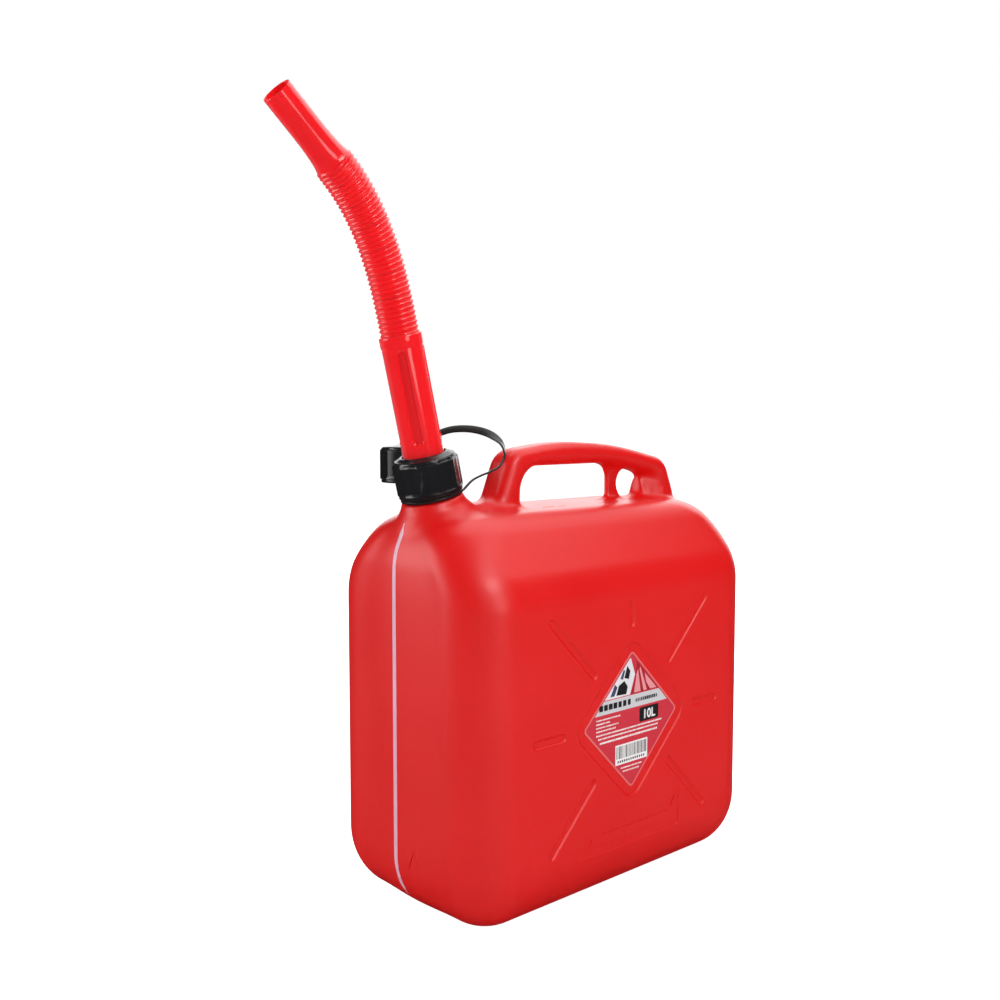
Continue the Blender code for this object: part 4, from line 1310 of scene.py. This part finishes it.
def spout_tube_skin():
    outside = [(11.5 * MM, TUBE_FOOT), (18.6 * MM, TUBE_FOOT)]
    outside += arc((18.3 * MM, TUBE_FOOT + 1.6 * MM), 0.4 * MM, 0, 90)
    outside += [(TUBE_RADIUS + 0.5 * MM, TUBE_FOOT + 2.1 * MM)]
    top = TUBE_TOP - 8.5 * MM
    count = 150
    wall = [TUBE_FOOT + 2.6 * MM + (top - TUBE_FOOT - 2.6 * MM) * step / count for step in range(count + 1)]
    lip = [(TUBE_RADIUS + 0.15 * MM, TUBE_TOP - 8.1 * MM), (TUBE_RADIUS + 0.42 * MM, TUBE_TOP - 7.4 * MM)]
    lip += arc((TUBE_RADIUS - 0.7 * MM, TUBE_TOP - 1.5 * MM), 1.1 * MM, 0, 90)
    lip += [(12.4 * MM, TUBE_TOP - 0.4 * MM), (11.6 * MM, TUBE_TOP - 0.5 * MM)]
    inside = [(10 * MM, TUBE_TOP - 1 * MM), (10 * MM, TUBE_TOP - 9 * MM), (11.5 * MM, TUBE_TOP - 12 * MM)]
    rings = []
    sides = 256
    for radius, height in [*outside, *((None, h) for h in wall), *lip, *inside]:
        ring = []
        for step in range(sides):
            angle = 2 * pi * step / sides
            r = tube_radius(angle, height) if radius is None else radius
            ring.append(Vector((r * cos(angle), r * sin(angle), height)))
        rings.append(ring)
    return skin(rings, True, True)


tube = new_piece("spout_lower_tube", spout_tube_skin(), neck_place)
tube.data.materials.append(spout_red)
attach(tube, "spout_base")
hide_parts("spout_tube")


# Bellows: the corrugated middle of the spout, thin blown polyethylene that bends and springs back.
# Each length of it spans one of the bend's joints.

CREST = 13 * MM
ROOT = 11.9 * MM
RINGS_PER_LINK = 5
hinges = [Vector(joint_at[f"spout_flex_{i}"]["pos_m"]) for i in range(1, 9)]
last_step = hinges[7] - hinges[6]
bend_step = radians(4.2)
nozzle_way = (Matrix.Rotation(-bend_step, 3, "Y") @ last_step).normalized()


def hose_tree():
    """A corrugated length along a Bezier arc: rings rise and fall along its length."""
    tree, start, end = geometry_tree(
        "corrugated_hose",
        (
            ("Start", "NodeSocketVector"),
            ("Start Handle", "NodeSocketVector"),
            ("End Handle", "NodeSocketVector"),
            ("End", "NodeSocketVector"),
            ("Rings", "NodeSocketFloat"),
            ("End Phase", "NodeSocketFloat"),
            ("Samples", "NodeSocketInt"),
            ("Sides", "NodeSocketInt"),
            ("Root Radius", "NodeSocketFloat"),
            ("Crest Radius", "NodeSocketFloat"),
            ("Material", "NodeSocketMaterial"),
        ),
    )
    path = tree.nodes.new("GeometryNodeCurvePrimitiveBezierSegment")
    path.inputs["Resolution"].default_value = 64
    for label in ("Start", "Start Handle", "End Handle", "End"):
        tree.links.new(start.outputs[label], path.inputs[label])
    even = tree.nodes.new("GeometryNodeResampleCurve")
    tree.links.new(path.outputs[0], even.inputs["Curve"])
    tree.links.new(start.outputs["Samples"], even.inputs["Count"])
    along = tree.nodes.new("GeometryNodeSplineParameter")
    back = math_node(tree, "SUBTRACT", 1.0, along.outputs["Factor"])
    rings_back = math_node(tree, "MULTIPLY", back, start.outputs["Rings"])
    turns = math_node(tree, "SUBTRACT", start.outputs["End Phase"], rings_back)
    wave = math_node(tree, "COSINE", math_node(tree, "MULTIPLY", turns, 2 * pi))
    lifted = math_node(tree, "MULTIPLY", math_node(tree, "ADD", wave, 1.0), 0.5)
    shaped = math_node(tree, "POWER", math_node(tree, "MAXIMUM", lifted, 0.0), 0.6)
    rise = math_node(tree, "SUBTRACT", start.outputs["Crest Radius"], start.outputs["Root Radius"])
    radius = math_node(tree, "ADD", start.outputs["Root Radius"], math_node(tree, "MULTIPLY", shaped, rise))
    sized = tree.nodes.new("GeometryNodeSetCurveRadius")
    tree.links.new(even.outputs[0], sized.inputs["Curve"])
    tree.links.new(radius, sized.inputs["Radius"])
    upright = tree.nodes.new("GeometryNodeSetCurveNormal")
    tree.links.new(sized.outputs[0], upright.inputs["Curve"])
    circle = tree.nodes.new("GeometryNodeCurvePrimitiveCircle")
    circle.inputs["Radius"].default_value = 1.0
    tree.links.new(start.outputs["Sides"], circle.inputs["Resolution"])
    swept = tree.nodes.new("GeometryNodeCurveToMesh")
    tree.links.new(upright.outputs[0], swept.inputs["Curve"])
    tree.links.new(circle.outputs[0], swept.inputs["Profile Curve"])
    swept.inputs["Fill Caps"].default_value = True
    if "Scale" in swept.inputs:
        held = tree.nodes.new("GeometryNodeInputRadius")
        tree.links.new(held.outputs[0], swept.inputs["Scale"])
    paint = tree.nodes.new("GeometryNodeSetMaterial")
    tree.links.new(swept.outputs[0], paint.inputs["Geometry"])
    tree.links.new(start.outputs["Material"], paint.inputs["Material"])
    real = tree.nodes.new("GeometryNodeRealizeInstances")
    tree.links.new(paint.outputs[0], real.inputs[0])
    tree.links.new(real.outputs[0], end.inputs[0])
    return tree


def centreline(points, first_way, last_way):
    """For each pair of neighbouring points, the tangent at both, for one smooth curve through all."""
    ways = [first_way]
    for before, after in zip(points, points[2:]):
        ways.append((after - before).normalized())
    return [*ways, last_way]


hinge_ways = centreline(hinges, neck_up, nozzle_way)


def on_centreline(i, t):
    """The point and direction at share t between hinge i and hinge i + 1."""
    a, b = hinges[i], hinges[i + 1]
    reach = (b - a).length
    p1 = a + hinge_ways[i] * reach / 3
    p2 = b - hinge_ways[i + 1] * reach / 3
    s = 1 - t
    point = a * s**3 + 3 * p1 * s * s * t + 3 * p2 * s * t * t + b * t**3
    way = (p1 - a) * s * s + 2 * (p2 - p1) * s * t + (b - p2) * t * t
    return point, way.normalized()


corrugated = hose_tree()
for i in range(8):
    start, start_way = on_centreline(i - 1, 0.5) if i else (hinges[0] - neck_up * 0.8 * MM, neck_up)
    end, end_way = on_centreline(i, 0.5) if i < 7 else (hinges[7] + nozzle_way * 2.4 * MM, nozzle_way)
    reach = (end - start).length
    rings = RINGS_PER_LINK if 0 < i < 7 else 2.75 if i == 0 else 2.5 + 2.4 / 3.14
    hose = run_tree(
        f"bellows_length_{i + 1}",
        corrugated,
        {
            "Start": start,
            "Start Handle": start + start_way * reach / 3,
            "End Handle": end - end_way * reach / 3,
            "End": end,
            "Rings": float(rings),
            "End Phase": 0.5 if i < 7 else 2.4 / 3.14,
            "Samples": round(rings * 12) + 1,
            "Sides": 72,
            "Root Radius": ROOT,
            "Crest Radius": CREST,
            "Material": spout_red,
        },
    )
    hose.data.shade_smooth()
    hose.data.set_sharp_from_angle(angle=radians(60))
    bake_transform(hose)
    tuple(start)
    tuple(end)
    if i < 7:
        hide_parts(f"bellows_{i + 1}")


# Nozzle: the stiff tip, moulded on to the last corrugation. It narrows to a plain tube and its mouth
# is cut square.

nozzle_turn = Matrix.Rotation(atan2(nozzle_way.x, nozzle_way.z), 4, "Y")
nozzle_place = Matrix.Translation(hinges[7]) @ nozzle_turn
NOZZLE_LENGTH = 55.6 * MM
NOZZLE_RADIUS = 9.6 * MM
nozzle_profile = [
    (10 * MM, 0.9 * MM),
    *arc((12.2 * MM, 1.3 * MM), 0.4 * MM, -90, 0, 3),
    (12.6 * MM, 2.2 * MM),
    *arc((12.0 * MM, 2.8 * MM), 0.6 * MM, 20, 60, 3),
    (11.6 * MM, 4.6 * MM),
    (11.1 * MM, 7 * MM),
    (10.65 * MM, 9.6 * MM),
    (10.3 * MM, 12.4 * MM),
    (9.95 * MM, 17 * MM),
    (9.7 * MM, 22 * MM),
    (NOZZLE_RADIUS, 28 * MM),
    (NOZZLE_RADIUS, NOZZLE_LENGTH - 0.25 * MM),
    (NOZZLE_RADIUS - 0.2 * MM, NOZZLE_LENGTH),
    (8.75 * MM, NOZZLE_LENGTH),
    (8.6 * MM, NOZZLE_LENGTH - 0.2 * MM),
    (8.6 * MM, 18 * MM),
    (10 * MM, 6 * MM),
]
nozzle = new_piece("nozzle", turned(stepped(nozzle_profile, 2.2 * MM), 128, looped=True), nozzle_place)
nozzle.data.materials.append(spout_red)
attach(nozzle, "spout_tip")
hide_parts("spout_nozzle")


# Tether: a black polypropylene ring that turns freely under the collar, with a flat strap that curls
# up and round to the cap. The strap is soft, so it bends along its length.

STRAP_WIDTH = 6 * MM
STRAP_THICK = 1.4 * MM
STRAP_ROUTE = (
    (-95.6, -15.8, 283.0),
    (-90.2, -17.2, 288.0),
    (-84.0, -18.6, 291.0),
    (-77.3, -20.3, 293.4),
    (-70.4, -22.0, 297.0),
    (-64.4, -20.6, 303.8),
    (-60.6, -13.5, 311.2),
    (-60.2, -4.0, 316.8),
    (-62.6, 6.0, 320.2),
    (-67.0, 16.0, 321.6),
    (-72.4, 25.6, 321.0),
    (-78.2, 32.8, 318.2),
    (-83.4, 37.0, 314.8),
    (-88.0, 40.2, 312.6),
)
black_soft = plastic(
    "tether_black",
    (0.014, 0.013, 0.013),
    (0.09, 0.08, 0.08),
    0.30,
    grain=(1300.0, 0.30),
    drift=0.3,
    scuffs=0.25,
    shine=0.3,
)
ring_profile = [
    (18.5 * MM, -2.2 * MM),
    *arc((20.2 * MM, -1.9 * MM), 0.55 * MM, -90, 0, 4),
    *arc((20.2 * MM, -1.1 * MM), 0.55 * MM, 0, 90, 4),
    (18.5 * MM, -0.55 * MM),
]
tether_ring = new_piece("tether_loop", turned(ring_profile, 128, looped=True), neck_place)
tether_ring.data.materials.append(black_soft)
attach(tether_ring, "tether")
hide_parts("tether_ring")


def strap_point(place):
    """A point of the smooth curve through STRAP_ROUTE. place counts the route's points."""
    route = [Vector(p) * MM for p in STRAP_ROUTE]
    i = min(max(int(place), 0), len(route) - 2)
    t = place - i
    p1, p2 = route[i], route[i + 1]
    p0 = route[i - 1] if i else 2 * p1 - p2
    p3 = route[i + 2] if i + 2 < len(route) else 2 * p2 - p1
    low, high = (p2 - p0) / 2, (p3 - p1) / 2
    curve = p1 * (2 * t**3 - 3 * t**2 + 1) + low * (t**3 - 2 * t**2 + t)
    return curve + p2 * (3 * t**2 - 2 * t**3) + high * (t**3 - t**2)


def strap_frame(place):
    """(point, the way its faces look). The strap lies flat at both ends and rears up round the back."""
    point = strap_point(place)
    along = (strap_point(place + 0.02) - strap_point(place - 0.02)).normalized()
    rear = smoothed(5, 8, place) * (1 - smoothed(10.5, 12.8, place))
    width = Vector((0.73, 0.67, rear))
    return point, along.cross(width).normalized()


def strap_path(name, first, last):
    """A mesh of points and edges along the route, holding which way the strap faces at each point."""
    steps = round((last - first) * 12)
    frames = [strap_frame(first + (last - first) * step / steps) for step in range(steps + 1)]
    mesh = bpy.data.meshes.new(name)
    mesh.from_pydata([point for point, _ in frames], [(i, i + 1) for i in range(steps)], [])
    facing = mesh.attributes.new("facing", "FLOAT_VECTOR", "POINT")
    facing.data.foreach_set("vector", [c for _, out in frames for c in out])
    return mesh


def sweep_tree():
    """A rounded rectangle swept along an edge path. The path's points say which way its faces look."""
    tree, start, end = geometry_tree(
        "strap_sweep",
        (
            ("Width", "NodeSocketFloat"),
            ("Thickness", "NodeSocketFloat"),
            ("Edge Radius", "NodeSocketFloat"),
            ("Material", "NodeSocketMaterial"),
        ),
    )
    path = tree.nodes.new("GeometryNodeMeshToCurve")
    tree.links.new(start.outputs["Geometry"], path.inputs[0])
    facing = tree.nodes.new("GeometryNodeInputNamedAttribute")
    facing.data_type = "FLOAT_VECTOR"
    facing.inputs["Name"].default_value = "facing"
    turn = tree.nodes.new("GeometryNodeSetCurveNormal")
    turn.mode = "FREE"
    tree.links.new(path.outputs[0], turn.inputs["Curve"])
    tree.links.new(facing.outputs["Attribute"], turn.inputs["Normal"])
    section = tree.nodes.new("GeometryNodeCurvePrimitiveQuadrilateral")
    tree.links.new(start.outputs["Thickness"], section.inputs["Width"])
    tree.links.new(start.outputs["Width"], section.inputs["Height"])
    soft = tree.nodes.new("GeometryNodeFilletCurve")
    soft.mode = "POLY"
    soft.inputs["Count"].default_value = 4
    tree.links.new(section.outputs[0], soft.inputs["Curve"])
    tree.links.new(start.outputs["Edge Radius"], soft.inputs["Radius"])
    swept = tree.nodes.new("GeometryNodeCurveToMesh")
    tree.links.new(turn.outputs[0], swept.inputs["Curve"])
    tree.links.new(soft.outputs[0], swept.inputs["Profile Curve"])
    swept.inputs["Fill Caps"].default_value = True
    paint = tree.nodes.new("GeometryNodeSetMaterial")
    tree.links.new(swept.outputs[0], paint.inputs["Geometry"])
    tree.links.new(start.outputs["Material"], paint.inputs["Material"])
    real = tree.nodes.new("GeometryNodeRealizeInstances")
    tree.links.new(paint.outputs[0], real.inputs[0])
    tree.links.new(real.outputs[0], end.inputs[0])
    return tree


strap_sweep = sweep_tree()
strap_size = {
    "Width": STRAP_WIDTH,
    "Thickness": STRAP_THICK,
    "Edge Radius": 0.45 * MM,
    "Material": black_soft,
}
STRAP_PARTS = (
    ("strap_low", -0.5, 7, "tether", "strap_mid", 3.6, 6.4, ("tether_strap_1", "tether_strap_2")),
    ("strap_high", 7, 13, "strap_mid", "strap_end", 7.6, 10.4, ("tether_strap_3",)),
)
for name, first, last, a, b, start, end, nodes in STRAP_PARTS:
    strap = run_tree(name, strap_sweep, strap_size, strap_path(name, first, last))
    strap.data.shade_smooth()
    strap.data.set_sharp_from_angle(angle=radians(50))
    strap_point(start)
    strap_point(end)
    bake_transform(strap)
    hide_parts(*nodes)


# Cap: closes the can when the spout is off. It matches the collar, with a thread inside, a domed top
# and a stud that the strap's eyelet snaps over. It hangs behind the spout.

cap_foot = Vector(joint_at["cap_spin"]["pos_m"])
cap_place = Matrix.Translation(cap_foot)
CAP_TOP = 27 * MM
cap_profile = [
    (0, COLLAR_HEIGHT - 2.6 * MM),
    (COLLAR_BORE, COLLAR_HEIGHT - 2.6 * MM),
    (COLLAR_BORE, 1 * MM),
    (COLLAR_BORE + 0.5 * MM, 0.3 * MM),
    (COLLAR_BORE + 0.8 * MM, 0),
    *arc((COLLAR_RADIUS - 1.3 * MM, 0.5 * MM), 0.5 * MM, -90, 0),
    (COLLAR_RADIUS - 0.8 * MM, 2.1 * MM),
    *arc((COLLAR_RADIUS - 0.6 * MM, 2.9 * MM), 0.6 * MM, -60, 0),
    *arc((COLLAR_RADIUS - 1.2 * MM, COLLAR_HEIGHT - 3.2 * MM), 1.2 * MM, 0, 38),
    *arc((COLLAR_RADIUS - 3.0 * MM, COLLAR_HEIGHT - 1.6 * MM), 1.6 * MM, 42, 82),
    (9 * MM, CAP_TOP),
    (2.9 * MM, CAP_TOP),
    (2.9 * MM, CAP_TOP + 2.4 * MM),
    *arc((3.7 * MM, CAP_TOP + 2.9 * MM), 0.6 * MM, -60, 60, 4),
    (2.6 * MM, CAP_TOP + 3.8 * MM),
    (0, CAP_TOP + 3.8 * MM),
]


def spun(profile, sides, flute):
    """A profile that starts and ends on the axis, turned and scalloped where flute says."""
    rings = []
    for radius, height in profile[1:-1]:
        ring = []
        for step in range(sides):
            angle = 2 * pi * step / sides
            r = radius - flute(radius, height, angle)
            ring.append(Vector((r * cos(angle), r * sin(angle), height)))
        rings.append(ring)
    bm = skin(rings, capped=False)
    bm.verts.ensure_lookup_table()
    ends = ((profile[0][1], bm.verts[:sides]), (profile[-1][1], bm.verts[-sides:]))
    for height, ring in ends:
        pole = bm.verts.new((0, 0, height))
        for j in range(sides):
            bm.faces.new((ring[j], ring[(j + 1) % sides], pole))
    return bm


def cap_flute(radius, height, angle):
    outer = smoothed(COLLAR_BORE + 0.8 * MM, COLLAR_BORE + 1.6 * MM, radius)
    mask = smoothed(2.6 * MM, 3.8 * MM, height) * outer * (height < COLLAR_HEIGHT)
    return MM * abs(sin(5 * angle)) ** 0.55 * mask


cap_points = stepped(cap_profile, 1.1 * MM)
last_point = max(i for i, p in enumerate(cap_points) if p[1] > CAP_TOP + 3.7 * MM and p[0] < 0.1 * MM)
cap = new_piece("cap", spun(cap_points[: last_point + 1], 320, cap_flute))
cut(cap, thread_ridge("cap_thread", COLLAR_BORE, 1.1 * MM, 6.4 * MM, 1.2, True), "UNION")
cap.data.transform(cap_place)
cap.data.shade_smooth()
cap.data.set_sharp_from_angle(angle=radians(40))
cap.data.materials.clear()
cap.data.materials.append(black_gloss)
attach(cap, "cap")
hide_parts("screw_cap")

seal_high = COLLAR_HEIGHT - 2.9 * MM
seal_profile = [
    (0, seal_high - 1.5 * MM),
    (17.6 * MM, seal_high - 1.5 * MM),
    (18 * MM, seal_high - 1.1 * MM),
    (18 * MM, seal_high - 0.3 * MM),
    (17.7 * MM, seal_high),
    (0, seal_high),
]
cap_liner = new_piece("cap_liner", spun(seal_profile, 96, lambda *_: 0), cap_place)
cap_liner.data.materials.append(rubber)
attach(cap_liner, "cap")
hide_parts("cap_seal")

eyelet_low = CAP_TOP + 0.4 * MM
eyelet_profile = [
    (3.6 * MM, eyelet_low + 0.3 * MM),
    (3.9 * MM, eyelet_low),
    *arc((6.3 * MM, eyelet_low + 0.5 * MM), 0.5 * MM, -90, 0, 4),
    *arc((6.3 * MM, eyelet_low + 1.1 * MM), 0.5 * MM, 0, 90, 4),
    (3.9 * MM, eyelet_low + 1.6 * MM),
    (3.6 * MM, eyelet_low + 1.3 * MM),
]
eyelet = new_piece("eyelet", turned(eyelet_profile, 64, looped=True), cap_place)
eyelet.data.materials.append(black_soft)
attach(eyelet, "strap_end")
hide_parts("tether_eyelet")
